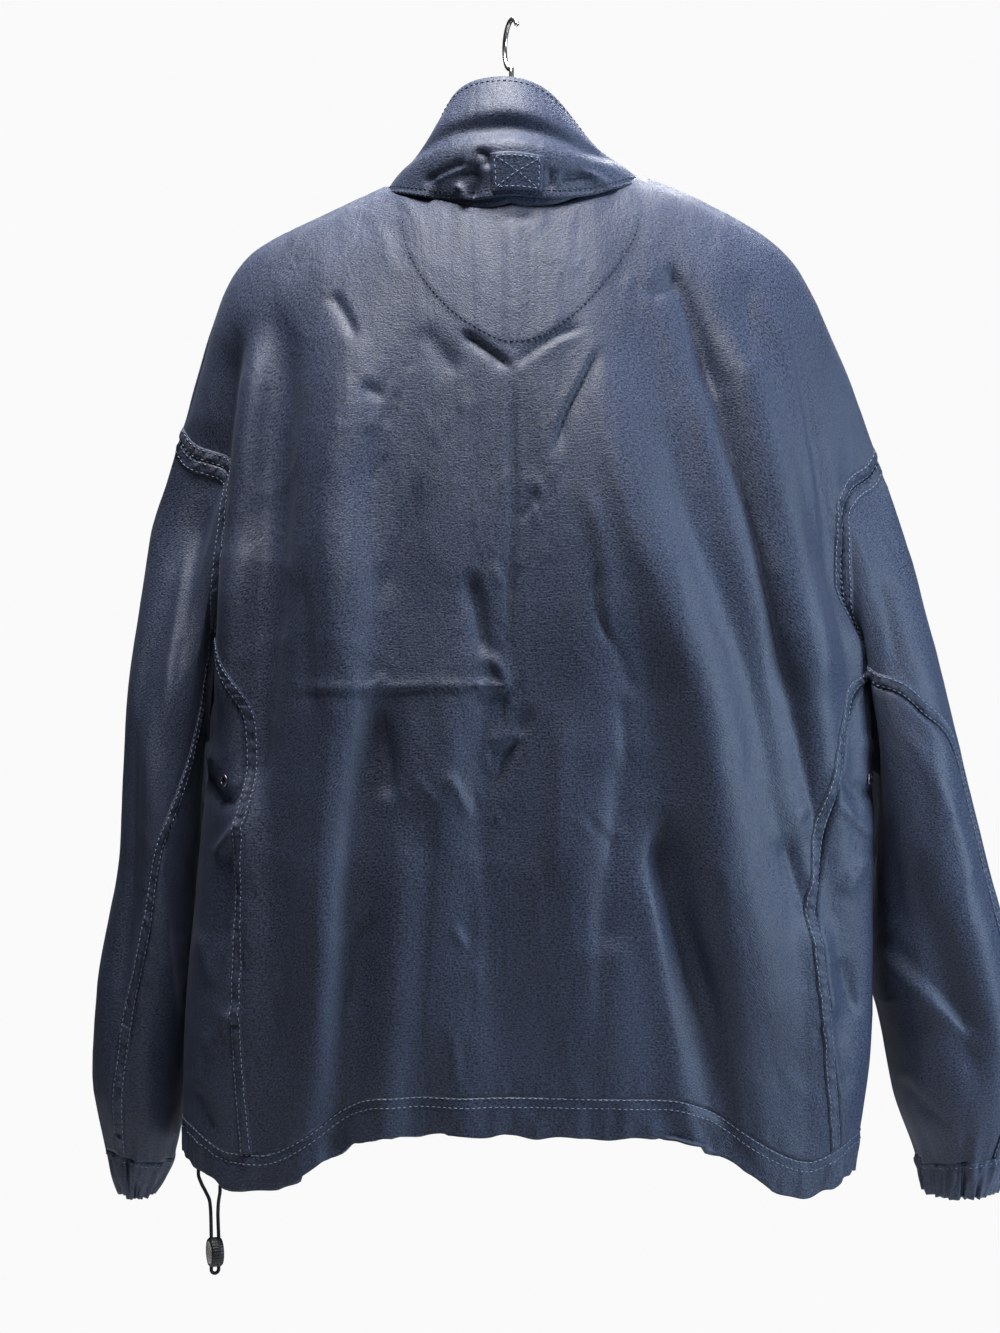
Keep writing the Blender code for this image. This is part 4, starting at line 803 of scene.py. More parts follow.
def grid_faces(rows, columns, closed=False):
    """Four-cornered faces of a grid whose outward side is fall times along."""
    index = np.arange(rows * columns).reshape(rows, columns)
    right = np.roll(index, -1, axis=1)
    if not closed:
        index, right = index[:, :-1], right[:, :-1]
    return np.stack([index[:-1], index[1:], right[1:], right[:-1]], axis=-1)


def cloth(name, grid, material, thick=CLOTH, closed=False, left_out=None):
    """A sheet on a grid, thickened inwards; its UV map is the way along rows and columns in metres."""
    faces = grid_faces(*grid.shape[:2], closed)
    faces = faces.reshape(-1, 4) if left_out is None else faces[~left_out]
    across = run_lengths(grid, 1)
    across = across - across[:, across.shape[1] // 2, None]
    fall = run_lengths(grid, 0)
    uv = np.stack([across, fall - fall[-1:]], axis=-1).reshape(-1, 2)
    obj = mesh_piece(name, grid.reshape(-1, 3), faces.tolist(), material, uv)
    shell = obj.modifiers.new("thickness", "SOLIDIFY")
    shell.thickness = thick
    shell.offset = -1
    return obj


THREAD_RADIUS = 0.0004
STITCH = 0.0031
STITCH_PITCH = 0.0046
THREAD_SIDES = 5
# Rings of a stitch: place along it as a share of its length, then height and width in thread radii
STITCH_RINGS = ((-0.34, 0.5, 0.85), (0, 0.9, 1), (0.34, 0.5, 0.85))
# How far a stitch's ends sink into the cloth, in thread radii
STITCH_SUNK = 0.3


def stitch_rows(name, lines, material):
    """Rows of short bowed threads along lines; each thread is three rings and two end points."""
    n = THREAD_SIDES
    ring = np.arange(n)
    after = np.roll(ring, -1)
    turn = ring * 2 * math.pi / n
    bands = [np.stack([ring + k, ring + k + n, after + k + n, after + k], -1) for k in (0, n)]
    quads = np.concatenate(bands)
    first = np.stack([0 * ring + 3 * n, ring, after], -1)
    last = np.stack([0 * ring + 3 * n + 1, after + 2 * n, ring + 2 * n], -1)
    ends = np.concatenate([first, last])
    points, faces, count = [], [], 0
    for line, normals in lines:
        arc = arc_length(line)
        middles = np.arange(STITCH_PITCH / 2, arc[-1] - STITCH / 2, STITCH_PITCH)

        def at(values, where):
            """Values at distances along the line."""
            return np.stack([np.interp(where, arc, values[:, axis]) for axis in range(3)], axis=-1)

        centre = at(line, middles)
        tangent = unit(at(line, middles + STITCH / 2) - at(line, middles - STITCH / 2))
        normal = unit(at(normals, middles))
        cross = np.cross(tangent, normal)
        spoke = np.cos(turn)[:, None] * cross[:, None] + np.sin(turn)[:, None] * normal[:, None]
        parts = []
        for way, raised, wide in STITCH_RINGS:
            middle = centre + way * STITCH * tangent + raised * THREAD_RADIUS * normal
            parts.append(middle[:, None] + wide * THREAD_RADIUS * spoke)
        for way in (-0.5, 0.5):
            tip = centre + way * STITCH * tangent - STITCH_SUNK * THREAD_RADIUS * normal
            parts.append(tip[:, None])
        piece = np.concatenate(parts, axis=1)
        points.append(piece.reshape(-1, 3))
        offsets = count + np.arange(len(middles))[:, None, None] * piece.shape[1]
        for template in (quads, ends):
            faces.extend((template[None] + offsets).reshape(-1, template.shape[1]).tolist())
        count += piece.shape[0] * piece.shape[1]
    return put(mesh_piece(name, np.concatenate(points), faces, material))


def shader(name, roughness, colour=(0, 0, 0), **values):
    """A Principled material; values are constants of its own sockets."""
    material = bpy.data.materials.new(name)
    material.use_nodes = True
    node = material.node_tree.nodes["Principled BSDF"]
    node.inputs["Base Color"].default_value = (*colour, 1)
    node.inputs["Roughness"].default_value = roughness
    for key, value in values.items():
        node.inputs[key.replace("_", " ")].default_value = value
    return material


def weave_group():
    """Thin woven cloth on a UV map in metres: fine ribs, slubs and grain as heights; slubs, grain and
    clouds as tone; and small creases, which are ridged noise stretched downwards plus soft dents."""
    group = bpy.data.node_groups.new("rib weave", "ShaderNodeTree")
    for name in ("Tone", "Weave", "Crease"):
        group.interface.new_socket(name, in_out="OUTPUT", socket_type="NodeSocketFloat")
    nodes, links = group.nodes, group.links
    place = nodes.new("ShaderNodeUVMap")
    place.uv_map = "cloth"

    def noise(scale, detail, kind="FBM", bend=0.0):
        """Noise on the UV map, with its own number of waves a metre across and down."""
        stretch = nodes.new("ShaderNodeMapping")
        stretch.inputs["Scale"].default_value = (*scale, 1)
        links.new(place.outputs["UV"], stretch.inputs["Vector"])
        texture = nodes.new("ShaderNodeTexNoise")
        texture.noise_type = kind
        texture.normalize = True
        texture.inputs["Scale"].default_value = 1
        texture.inputs["Detail"].default_value = detail
        texture.inputs["Distortion"].default_value = bend
        links.new(stretch.outputs["Vector"], texture.inputs["Vector"])
        return texture.outputs["Fac"]

    def sums(operation, a, b):
        """A sum of two values or sockets."""
        node = nodes.new("ShaderNodeMath")
        node.operation = operation
        for socket, value in zip(node.inputs, (a, b)):
            if isinstance(value, (int, float)):
                socket.default_value = value
            else:
                links.new(value, socket)
        return node.outputs[0]

    split = nodes.new("ShaderNodeSeparateXYZ")
    links.new(place.outputs["UV"], split.inputs["Vector"])
    rib = sums("SINE", sums("MULTIPLY", split.outputs["Y"], 2 * math.pi / RIB_PITCH), 0)
    slub = noise((260, 900), 1)
    grain = noise((560, 640), 2)
    cloud = noise((14, 9), 2)
    height = sums("ADD", sums("MULTIPLY", rib, 0.1), sums("ADD", sums("MULTIPLY", slub, 0.5), grain))
    tone = sums("ADD", sums("MULTIPLY", slub, 1.4), sums("MULTIPLY", grain, 3.2))
    tone = sums("MAXIMUM", sums("ADD", tone, sums("MULTIPLY", cloud, 0.5)), DARKEST_SPECK - TONE_SHIFT)
    creases = sums("ADD", noise((19, 9), 2, "RIDGED_MULTIFRACTAL", 0.6),
                   sums("MULTIPLY", noise((75, 45), 2, "RIDGED_MULTIFRACTAL", 0.8), 0.22))
    creases = sums("ADD", creases, sums("MULTIPLY", noise((48, 34), 3, bend=0.5), 0.5))
    out = nodes.new("NodeGroupOutput")
    links.new(sums("ADD", tone, TONE_SHIFT), out.inputs["Tone"])
    links.new(height, out.inputs["Weave"])
    links.new(creases, out.inputs["Crease"])
    return group


def nylon(name, colour, weave, roughness, bump, crumple_height):
    """Thin shiny cloth: the weave's tone times a colour, its heights as bumps, and a pale sheen."""
    material = shader(name, roughness, Sheen_Weight=0.06, Sheen_Roughness=0.4, Specular_IOR_Level=0.42)
    nodes, links = material.node_tree.nodes, material.node_tree.links
    surface = nodes["Principled BSDF"]
    surface.inputs["Sheen Tint"].default_value = (0.72, 0.8, 1.0, 1)
    pattern = nodes.new("ShaderNodeGroup")
    pattern.node_tree = weave
    paint = nodes.new("ShaderNodeVectorMath")
    paint.operation = "SCALE"
    paint.inputs[0].default_value = colour
    links.new(pattern.outputs["Tone"], paint.inputs["Scale"])
    links.new(paint.outputs["Vector"], surface.inputs["Base Color"])
    creased = nodes.new("ShaderNodeBump")
    creased.inputs["Distance"].default_value = crumple_height
    links.new(pattern.outputs["Crease"], creased.inputs["Height"])
    woven = nodes.new("ShaderNodeBump")
    woven.inputs["Distance"].default_value = bump
    links.new(pattern.outputs["Weave"], woven.inputs["Height"])
    links.new(creased.outputs["Normal"], woven.inputs["Normal"])
    links.new(woven.outputs["Normal"], surface.inputs["Normal"])
    gloss = nodes.new("ShaderNodeMath")
    gloss.operation = "MULTIPLY_ADD"
    gloss.inputs[1].default_value = GLOSS_GRAIN
    gloss.inputs[2].default_value = roughness - GLOSS_GRAIN * WEAVE_MEAN
    links.new(pattern.outputs["Weave"], gloss.inputs[0])
    links.new(gloss.outputs[0], surface.inputs["Roughness"])
    return material


RIB_PITCH = 0.0011
# The weave's mean height, and how far its heights change the gloss
WEAVE_MEAN = 0.75
GLOSS_GRAIN = 0.5
# Brings the speckles' mean back to 1, and how dark one may be
TONE_SHIFT = -1.55
DARKEST_SPECK = 0.25
WEAVE = weave_group()
NAVY = nylon("navy nylon", (0.037, 0.048, 0.085), WEAVE, 0.54, 0.0004, 0.0017)
ELASTIC = nylon("gathered elastic", (0.04, 0.054, 0.094), WEAVE, 0.5, 0.00035, 0.0035)
THREAD = shader("thread", 0.6, (0.19, 0.24, 0.33))
THREAD_DARK = shader("dark thread", 0.6, (0.016, 0.02, 0.034))
METAL = shader("nickel", 0.3, (0.62, 0.62, 0.62), Metallic=1.0)
GUNMETAL = shader("blackened brass", 0.42, (0.17, 0.18, 0.21), Metallic=1.0)
WIRE = shader("steel wire", 0.28, (0.7, 0.7, 0.7), Metallic=1.0)
BAR = shader("hanger bar", 0.5, (0.25, 0.25, 0.26))
# Black of the shock cord, also used for the eyelets' discs of painted hole shade
CORD_BLACK_AND_HOLE_SHADE = shader("shock cord", 0.8, (0.01, 0.01, 0.013))
LOCK_BLACK = shader("lock body", 0.45, (0.012, 0.012, 0.014))
LOCK_GREY = shader("lock face", 0.45, (0.36, 0.37, 0.38))
ZIP_TAPE_CLOTH = shader("zip tape", 0.75, (0.02, 0.026, 0.046))


# Seeds of what is uneven, one for each place
SEEDS = {
    "patches": 21, "back": 11, "front": 31, "collar": 111, "cuff": 83,
    "back_seams": (41, 43), "front_seams": (47, 49), "side_seams": (51, 53), "sleeve_seams": (91, 93),
    "back_hem": 45, "sleeve_head": 95, "back_band": 141, "front_band": 143, "sleeve_band": 145,
    "sleeve": {"left": 61, "right": 71}, "gathers": {"left": 81, "right": 85}, "hem": (101, 102, 103, 104),
}
BACK = named_creases(BACK_CREASES + LEFT_CREASES + RIGHT_CREASES + scattered(CRUMPLED, SEEDS["patches"]))
FRONT = named_creases(FRONT_CREASES)
SLEEVE_CREASES = {"left": named_creases(SLEEVE_LEFT_CREASES), "right": named_creases(SLEEVE_RIGHT_CREASES)}
COLLAR = named_creases(COLLAR_CREASES)
# The front's folds are the back's, turned about and softer, and so are a sleeve's creases in front
FRONT_FOLD_SHARE = 0.6
FRONT_CREASE_SHARE = 0.7


def body_dressed(across, down):
    """The body's form with its creases and crumples, which fade where the cloth turns side-on."""
    place = body(across, down)
    normal = normals_of(body, across, np.maximum(down, 1e-3))
    x, z = place[..., 0], place[..., 2]
    behind, before = rise(-0.1, 0.3, -normal[..., 1]), rise(0.1, 0.5, normal[..., 1])
    fade = rise(0.04, 0.34, down)
    folds = fade * fold_relief(LONG_FOLDS, x, z)
    height = behind * (folds + crease_relief(BACK, x, z) + crumple(x, z, SEEDS["back"]))
    folds = FRONT_FOLD_SHARE * fade * fold_relief(LONG_FOLDS, -x, z)
    height = height + before * (folds + crease_relief(FRONT, x, z) + crumple(x, z, SEEDS["front"]))
    return place, normal, height


def side_seams(band, lift, seeds):
    """What seam_relief needs for a left and a right edge."""
    return {edge: (band, lift, PUCKER, seed) for edge, seed in zip(("left", "right"), seeds)}


def sewn(grid, normal, height, seams, meets=()):
    """Adds heights and seams along the normals. A seam is level at its own edge, and all is where
    pieces meet."""
    for edge, (band, lift, pucker, seed) in seams.items():
        height = height + seam_relief(grid, edge, band, lift, pucker, seed) * near_edge(grid, edge)
    for edge in meets:
        height = height * near_edge(grid, edge)
    return grid + height[..., None] * normal


def near_edge(grid, edge, reach=0.003):
    """0 at an edge and 1 further in."""
    return to_edge(rise(0, reach, run_lengths(from_edge(grid, edge), 1)), edge)


def sheet(obj, node):
    """Puts a cloth in place of its node."""
    put(obj, node)
    return obj


# Width, rise and pucker of the cloth along a seam
BAND = 0.0095
BAND_LIFT = 0.0007
PUCKER = 0.0012
STITCH_LINES = []


def sew_beside(grid, edge, *distances):
    """Adds rows of stitches at distances inside an edge."""
    STITCH_LINES.extend(line_beside(grid, edge, far) for far in distances)


# Distances of a felled seam's lines from the edge, and which two are sewn; then the strip's step along
# the seam, its thickness and the height, width and run of its puckers
BAND_LINES = (0.0004, 0.0016, 0.0035, 0.0054, 0.0073, 0.0092, 0.0114)
BAND_SEWN = (1, 5)
BAND_STEP = 0.0012
BAND_TALL = 0.0003
BAND_PUCKER = 0.0013
LADDER_WIDE = 0.0034
LADDER_RUN = 0.03


def seam_band(name, grid, edge, seed):
    """A felled seam: a strip along an edge that puckers like a ladder between its two sewn rows."""
    lines = [line_beside(grid, edge, far) for far in BAND_LINES]
    points, normals = (np.stack([line[k] for line in lines], axis=1) for k in (0, 1))
    middle = points[:, len(lines) // 2]
    run = arc_length(middle)
    at = np.arange(0, run[-1], BAND_STEP)
    column, row = grid_of(np.arange(len(lines)), np.interp(at, run, np.arange(len(run))))
    base, out = pick(points, row, column), unit(pick(normals, row, column))
    share = (column - BAND_SEWN[0]) / (BAND_SEWN[1] - BAND_SEWN[0])
    bulge = np.sin(math.pi * np.clip(share, 0, 1))
    lively = 0.8 + 0.6 * mottle(at[:, None] / LADDER_RUN, 0 * share, seed + 1)
    ladder = lively * mottle(at[:, None] / LADDER_WIDE, 0.35 * share, seed)
    strip = base + (BAND_TALL + (BAND_TALL + BAND_PUCKER * ladder) * bulge)[..., None] * out
    for k in BAND_SEWN:
        STITCH_LINES.append((strip[:, k], out[:, k]))
    if (grid_normals(strip) * out).sum() < 0:
        strip = strip[:, ::-1]
    sheet(cloth(name, strip, NAVY, BAND_TALL), None)


def body_grid(shares, rows, angle_of, neck_deep):
    """Columns at shares across, from the neck's curve and the shoulder ridge down to the casing."""
    start = neck_deep * np.clip(1 - (np.abs(shares) / NECK_SHARE) ** 2, 0, None)
    t = np.linspace(0, 1, rows)[:, None] ** 1.08
    down = start + (CASING_TOP - start) * t
    return angle_of(np.broadcast_to(shares, down.shape), down), down


# The yoke's half moon, seen from behind, and how much thicker the back is inside it
YOKE_LINE = smooth_line(np.array([
    (-88, -172), (-84, -196), (-70, -224), (-46, -252), (-14, -273), (6, -276), (30, -268), (58, -245),
    (82, -215), (96, -192), (102, -176),
]) * MM)
YOKE_LIFT = 0.0006
HEM_BAND = 0.012
# Columns and rows of each piece's grid
BACK_GRID = (191, 213)
FRONT_GRID = (64, 141)
SIDE_GRID = (41, 121)
SLEEVE_GRID = (111, 141)
UNDER_COLUMNS = 51
CUFF_GRID = (240, 17)
HEM_GRID = (560, 18)
WALL_GRID = (161, 21)
LEAF_GRID = (241, 61)
TAB_GRID = (35, 25)


def back_panel():
    """The back, with columns closer in its middle, its yoke, its side seams and puckers at the hem."""
    even = np.linspace(-1, 1, BACK_GRID[0])
    shares = even * (0.8 + 0.2 * even**2)
    across, down = body_grid(shares, BACK_GRID[1], panel_angle, NECK_BACK)
    place, normal, height = body_dressed(across, down)
    height = height + YOKE_LIFT * inside_line(YOKE_LINE, place[..., 0], place[..., 2])
    seams = side_seams(BAND, BAND_LIFT, SEEDS["back_seams"])
    seams["bottom"] = (HEM_BAND, 0, PUCKER, SEEDS["back_hem"])
    grid = sewn(place, normal, height, seams)
    sheet(cloth("back", grid, NAVY), "back_panel")
    for edge in ("left", "right"):
        seam_band(f"back_seam_{edge}", grid, edge, SEEDS["back_band"])
    stitch_rows("yoke_sewing", [line_on(grid, YOKE_LINE[:, 0], YOKE_LINE[:, 1])], THREAD_DARK)


def inside_line(line, x, z):
    """1 on the upper side of a line that hangs between its ends, 0 below, with a soft step."""
    low = np.interp(x, line[:, 0], line[:, 1], left=0, right=0)
    return rise(-0.003, 0.001, z - low)


def front_panel():
    """The front, with the faces left out between the edges of the zip's slit."""
    half = ZIP_SLIT + (1 - ZIP_SLIT) * np.linspace(0, 1, FRONT_GRID[0])
    shares = np.concatenate([-half[::-1], half])[::-1]
    across, down = body_grid(shares, FRONT_GRID[1], front_angle, NECK_FRONT)
    place, normal, height = body_dressed(across, down)
    grid = sewn(place, normal, height, side_seams(BAND, BAND_LIFT, SEEDS["front_seams"]))
    middle = len(half) - 1
    slit = np.zeros((grid.shape[0] - 1, grid.shape[1] - 1), bool)
    slit[:, middle] = down[1:, middle] < SLIT_END
    sheet(cloth("front", grid, NAVY, left_out=slit), "front_panel")
    for edge in ("left", "right"):
        seam_band(f"front_seam_{edge}", grid, edge, SEEDS["front_band"])


# How far down the zip's slit ends, and the width of a side panel's puckers
SLIT_END = NECK_FRONT + (1 - NECK_FRONT) * float(armhole("left", (math.pi - GUSSET_TURN) * 7 / 8)[1])
SIDE_BAND = 0.006


def side_panel(side):
    """The panel under an arm, between the back's and the front's edges."""
    spread = np.linspace(0, 1, SIDE_GRID[0])
    turns = math.pi + GUSSET_TURN * (2 * spread - 1)
    wrapped = np.where(turns > math.pi, turns - 2 * math.pi, turns)
    _, top = armhole(side, wrapped)
    share = np.linspace(0, 1, SIDE_GRID[1])[:, None]
    down = top[None, :] + (CASING_TOP - top[None, :]) * share
    edge = np.radians(EDGE.at(side, ARMHOLE_DOWN + (CASING_TOP - ARMHOLE_DOWN) * share))
    across = SIDES[side] * (edge + (math.pi - 2 * edge) * spread[None, :])
    if side == "left":
        across, down = across[:, ::-1], down[:, ::-1]
    place, normal, height = body_dressed(across, down)
    grid = sewn(place, normal, height, side_seams(SIDE_BAND, 0, SEEDS["side_seams"]))
    sheet(cloth(f"side_{side}", grid, NAVY), f"side_panel_{side}")
    return grid


# A sleeve's mean radius, its length, and the number, height, place and half length of its gathers
SLEEVE_ROUND = 0.075
SLEEVE_LONG = 0.62
GATHERS = 5.2
GATHER_TALL = 0.003
GATHERED_AT = 1.02
GATHERED_HALF = 0.08


def sleeve_shell(side, turns, along):
    """A sleeve's points and outward normals."""
    def surface(across, down):
        """This side's sleeve as a function of two parameters."""
        return sleeve(side, across, down)

    within = np.clip(along, 2e-3, CUFF_END - 1e-3)
    return surface(turns, along), -SIDES[side] * normals_of(surface, turns, within)


def sleeve_dressed(side, turns, along):
    """A sleeve's form with creases, the same ones softer in front, crumples, and gathers at the cuff."""
    place, normal = sleeve_shell(side, turns, along)
    x, z = place[..., 0], place[..., 2]
    behind, before = rise(0.05, 0.5, -normal[..., 1]), rise(0.05, 0.5, normal[..., 1])
    height = (behind + FRONT_CREASE_SHARE * before) * crease_relief(SLEEVE_CREASES[side], x, z)
    round_way = np.where(turns > math.pi, turns - 2 * math.pi, turns) * SLEEVE_ROUND
    height = height + crumple(round_way, along * SLEEVE_LONG, SEEDS["sleeve"][side])
    height = height * rise(0, 0.03, along) * (1 - rise(0.86, 1, along))
    return place, normal, height + gathers(side, turns, along)


def gathers(side, turns, along):
    """Uneven gathers of a sleeve's end in its elastic: noise read round a circle, so that it closes."""
    seed = SEEDS["gathers"][side]
    c, s = np.cos(turns) * GATHERS, np.sin(turns) * GATHERS
    wave = mottle(c + 20, s + 20, seed) + 0.6 * mottle(2 * c + 40, 2 * s + 40, seed + 1)
    return GATHER_TALL * wave * np.exp(-(((along - GATHERED_AT) / GATHERED_HALF) ** 2))


def sleeve_turns(side, along, under):
    """Columns of an over-sleeve or under-sleeve between its seams; they run right, seen from outside."""
    table = SLEEVE_SEAMS[side]
    back, front = np.radians(table.at("back", along)), np.radians(table.at("front", along))
    if under:
        spread = np.linspace(0, 1, UNDER_COLUMNS)
        turns = back[:, None] + (2 * math.pi - front - back)[:, None] * spread
    else:
        spread = np.linspace(-1, 1, SLEEVE_GRID[0])
        turns = np.where(spread < 0, front[:, None] * spread, back[:, None] * spread)
    return turns if side == "left" else turns[:, ::-1]


def sleeve_pieces(side):
    """Over-sleeve and under-sleeve, and the felled seams round the over-sleeve."""
    lower = np.linspace(0, 1, SLEEVE_GRID[1]) ** 0.95
    made = {}
    for under in (False, True):
        turns = sleeve_turns(side, lower, under)
        along = np.broadcast_to(lower[:, None], turns.shape)
        place, normal, height = sleeve_dressed(side, turns, along)
        seams = side_seams(BAND, 0 if under else BAND_LIFT, SEEDS["sleeve_seams"])
        if not under:
            seams["top"] = (BAND, BAND_LIFT, PUCKER, SEEDS["sleeve_head"])
        grid = sewn(place, normal, height, seams, ("left", "right"))
        name = "under_sleeve" if under else "sleeve"
        sheet(cloth(f"{name}_{side}_cloth", grid, NAVY), f"{name}_{side}")
        made[name] = grid
    for edge in ("left", "right", "top"):
        name = f"sleeve_{side}_seam_{edge}"
        seam_band(name, made["sleeve"], edge, SEEDS["sleeve_band"])


CUFF_BULGE = 0.00088
CUFF_ROW = 0.004


def cuff(side):
    """The elastic casing at a wrist, in gathers that go on from the sleeve's end."""
    turns = np.linspace(0, 2 * math.pi, CUFF_GRID[0] + 1)[:-1] * -SIDES[side]
    lower = np.linspace(1, CUFF_END, CUFF_GRID[1])
    across, along = grid_of(turns, lower)
    place, normal = sleeve_shell(side, across, along)
    ring = CUFF_BULGE * np.sin(math.pi * (along - 1) / (CUFF_END - 1))
    fine = mottle(across * 13, along * 9, SEEDS["cuff"]) * GATHER_TALL * rise(1, 1.02, along)
    grid = place + (gathers(side, across, along) + ring + fine)[..., None] * normal
    obj = cloth(f"cuff_{side}_cloth", grid, ELASTIC, CASING, closed=True)
    around = np.concatenate([grid, grid[:, :1]], axis=1)
    sheet(obj, f"cuff_{side}")
    sew_beside(around, "top", CUFF_ROW)


# Rows of stitches from the hem's top, the hem's mean radius, and the heights of its deep and fine
# puckers, its roundness and its wavy edge
HEM_ROWS = (0.001, 0.008)
HEM_ROUND = 0.21
HEM_DEEP = 0.0026
HEM_FINE = 0.0007
HEM_FULL = 0.0005
HEM_WAVY = 0.002


def hem():
    """The casing round the hem, puckered along its stitches, with a slightly wavy lower edge."""
    angles = np.linspace(-math.pi, math.pi, HEM_GRID[0] + 1)[:-1]
    lower = np.linspace(0, 1, HEM_GRID[1])
    across, share = grid_of(angles, lower)
    down = CASING_TOP + (1 - CASING_TOP) * share
    place, normal, height = body_dressed(across, down)
    around = across * HEM_ROUND
    seeds = SEEDS["hem"]
    lively = 0.6 + 0.4 * mottle(around / 0.06, 0 * share, seeds[1])
    deep = HEM_DEEP * (mottle(around / 0.0115, share * 1.3, seeds[0]) * lively) * rise(0, 0.25, share)
    fine = HEM_FINE * mottle(around / 0.005, share * 2.5, seeds[2]) * rise(0, 0.3, share)
    grid = place + (height + deep + fine + HEM_FULL * np.sin(math.pi * share))[..., None] * normal
    grid[..., 2] += HEM_WAVY * mottle(around / 0.014, 0 * share, seeds[3]) * share
    obj = cloth("hem", grid, NAVY, CASING, closed=True)
    whole = np.concatenate([grid, grid[:, :1]], axis=1)
    sheet(obj, "hem_casing")
    sew_beside(whole, "top", *HEM_ROWS)


def collar_relief(place, normal):
    """Heights of the leaf's creases, behind alone, and of its crumples."""
    x, z = place[..., 0], place[..., 2]
    behind = rise(0.05, 0.5, -normal[..., 1])
    return behind * crease_relief(COLLAR, x, z) + 0.4 * crumple(x + 0.3, z, SEEDS["collar"])


def eased(grid, passes):
    """A grid whose rows are smoothed along their length, with their ends kept."""
    for _ in range(passes):
        middle = 0.25 * grid[:, :-2] + 0.5 * grid[:, 1:-1] + 0.25 * grid[:, 2:]
        grid = np.concatenate([grid[:, :1], middle, grid[:, -1:]], axis=1)
    return grid


# Where the leaf ends in front; how much shorter it is at the back than at the sides, and how far its
# edge is pressed in there; how often its rows are smoothed; and the rise of its turned edge
LEAF_END = 1.915
LEAF_RAISED = 0.1
LEAF_PRESSED = 0.0075
LEAF_PASSES = 60
LEAF_HEM = 0.0006
LEAF_ROWS = (("bottom", 0.0016), ("bottom", 0.0068), ("top", 0.0045))
# How far the tab stands off the leaf, and how much fuller its middle is than its edge
TAB_OFF = CLOTH + 0.0006
TAB_FULL = 0.0007
TAB_IN, TAB_OUT = 0.09, 0.91
TAB_HIGH, TAB_LOW = 0.1, 0.9
TAB_SEWING = [
    ((TAB_IN, TAB_HIGH), (TAB_OUT, TAB_HIGH)),
    ((TAB_OUT, TAB_HIGH), (TAB_OUT, TAB_LOW)),
    ((TAB_OUT, TAB_LOW), (TAB_IN, TAB_LOW)),
    ((TAB_IN, TAB_LOW), (TAB_IN, TAB_HIGH)),
    ((TAB_IN, TAB_HIGH), (TAB_OUT, TAB_LOW)),
    ((TAB_IN, TAB_LOW), (TAB_OUT, TAB_HIGH)),
]


def collar_wall():
    """The standing wall from the neck seam to the collar's top."""
    edge = 2 - ZIP_SLIT / NECK_SHARE
    wall = stand(*grid_of(np.linspace(-edge, edge, WALL_GRID[0]), np.linspace(0, 1, WALL_GRID[1])))
    sheet(cloth("collar_wall", wall, NAVY), "collar_stand")


def collar_leaf():
    """The leaf over the wall, raised and pressed in behind, and the tab that is sewn on it."""
    turns, lower = np.linspace(-LEAF_END, LEAF_END, LEAF_GRID[0]), np.linspace(0, 1, LEAF_GRID[1])
    across, down = grid_of(turns, lower)
    behind = 1 - rise(0.3, 1.2, np.abs(turns))
    reach = 1 - LEAF_RAISED * behind
    place = eased(flap(across, down * reach), LEAF_PASSES)
    place[..., 1] += LEAF_PRESSED * behind * rise(0.45, 1.0, down)
    normal = grid_normals(place)
    height = collar_relief(place, normal) * rise(0, 0.15, down)
    grid = place + (height + LEAF_HEM * rise(0.93, 0.96, down))[..., None] * normal
    sheet(cloth("collar_leaf", grid, NAVY), "collar_flap")
    stitch_rows("collar_sewing", [line_beside(grid, *row) for row in LEAF_ROWS], THREAD_DARK)
    across, down = grid_of(np.linspace(*TAB_TURNS, TAB_GRID[0]), np.linspace(*TAB_ROWS, TAB_GRID[1]))
    row = down / np.interp(across, turns, reach) * (grid.shape[0] - 1)
    column = np.interp(across, turns, np.arange(grid.shape[1]))
    base, normal = pick(grid, row, column), unit(pick(grid_normals(grid), row, column))
    u = (across - TAB_TURNS[0]) / (TAB_TURNS[1] - TAB_TURNS[0])
    v = (down - TAB_ROWS[0]) / (TAB_ROWS[1] - TAB_ROWS[0])
    rounded = np.minimum(np.minimum(u, 1 - u) / 0.06, np.minimum(v, 1 - v) / 0.08)
    tab = base + (TAB_OFF + TAB_FULL * rise(0, 1, rounded))[..., None] * normal
    sheet(cloth("collar_tab_cloth", tab, NAVY), "collar_tab")
    normals = grid_normals(tab)
    for start, end in np.array(TAB_SEWING):
        u, v = (start + (end - start) * np.linspace(0, 1, 40)[:, None]).T
        i, j = v * (TAB_GRID[1] - 1), u * (TAB_GRID[0] - 1)
        STITCH_LINES.append((pick(tab, i, j), unit(pick(normals, i, j))))


def pick(grid, i, j):
    """Points of a grid at fractions of its rows and columns, eased between the four round each."""
    r = np.clip(i.astype(int), 0, grid.shape[0] - 2)
    c = np.clip(j.astype(int), 0, grid.shape[1] - 2)
    a, b = (i - r)[..., None], (j - c)[..., None]
    upper = grid[r, c] * (1 - b) + grid[r, c + 1] * b
    lower = grid[r + 1, c] * (1 - b) + grid[r + 1, c + 1] * b
    return upper * (1 - a) + lower * a


def tube_grid(path, radius, sides):
    """Rings of points round a path, carried along it without twisting."""
    path = np.asarray(path, float)
    tangents = unit(np.gradient(path, axis=0))
    start = np.cross(tangents[0], (0.31, 0.17, 0.93))
    spokes = []
    for tangent in tangents:
        start = unit(start - (start @ tangent) * tangent)
        spokes.append(start)
    spokes = np.array(spokes)
    turn = (np.arange(sides) * 2 * math.pi / sides)[None, :, None]
    ring = np.cos(turn) * spokes[:, None] + np.sin(turn) * np.cross(spokes, tangents)[:, None]
    return path[:, None] + radius * ring


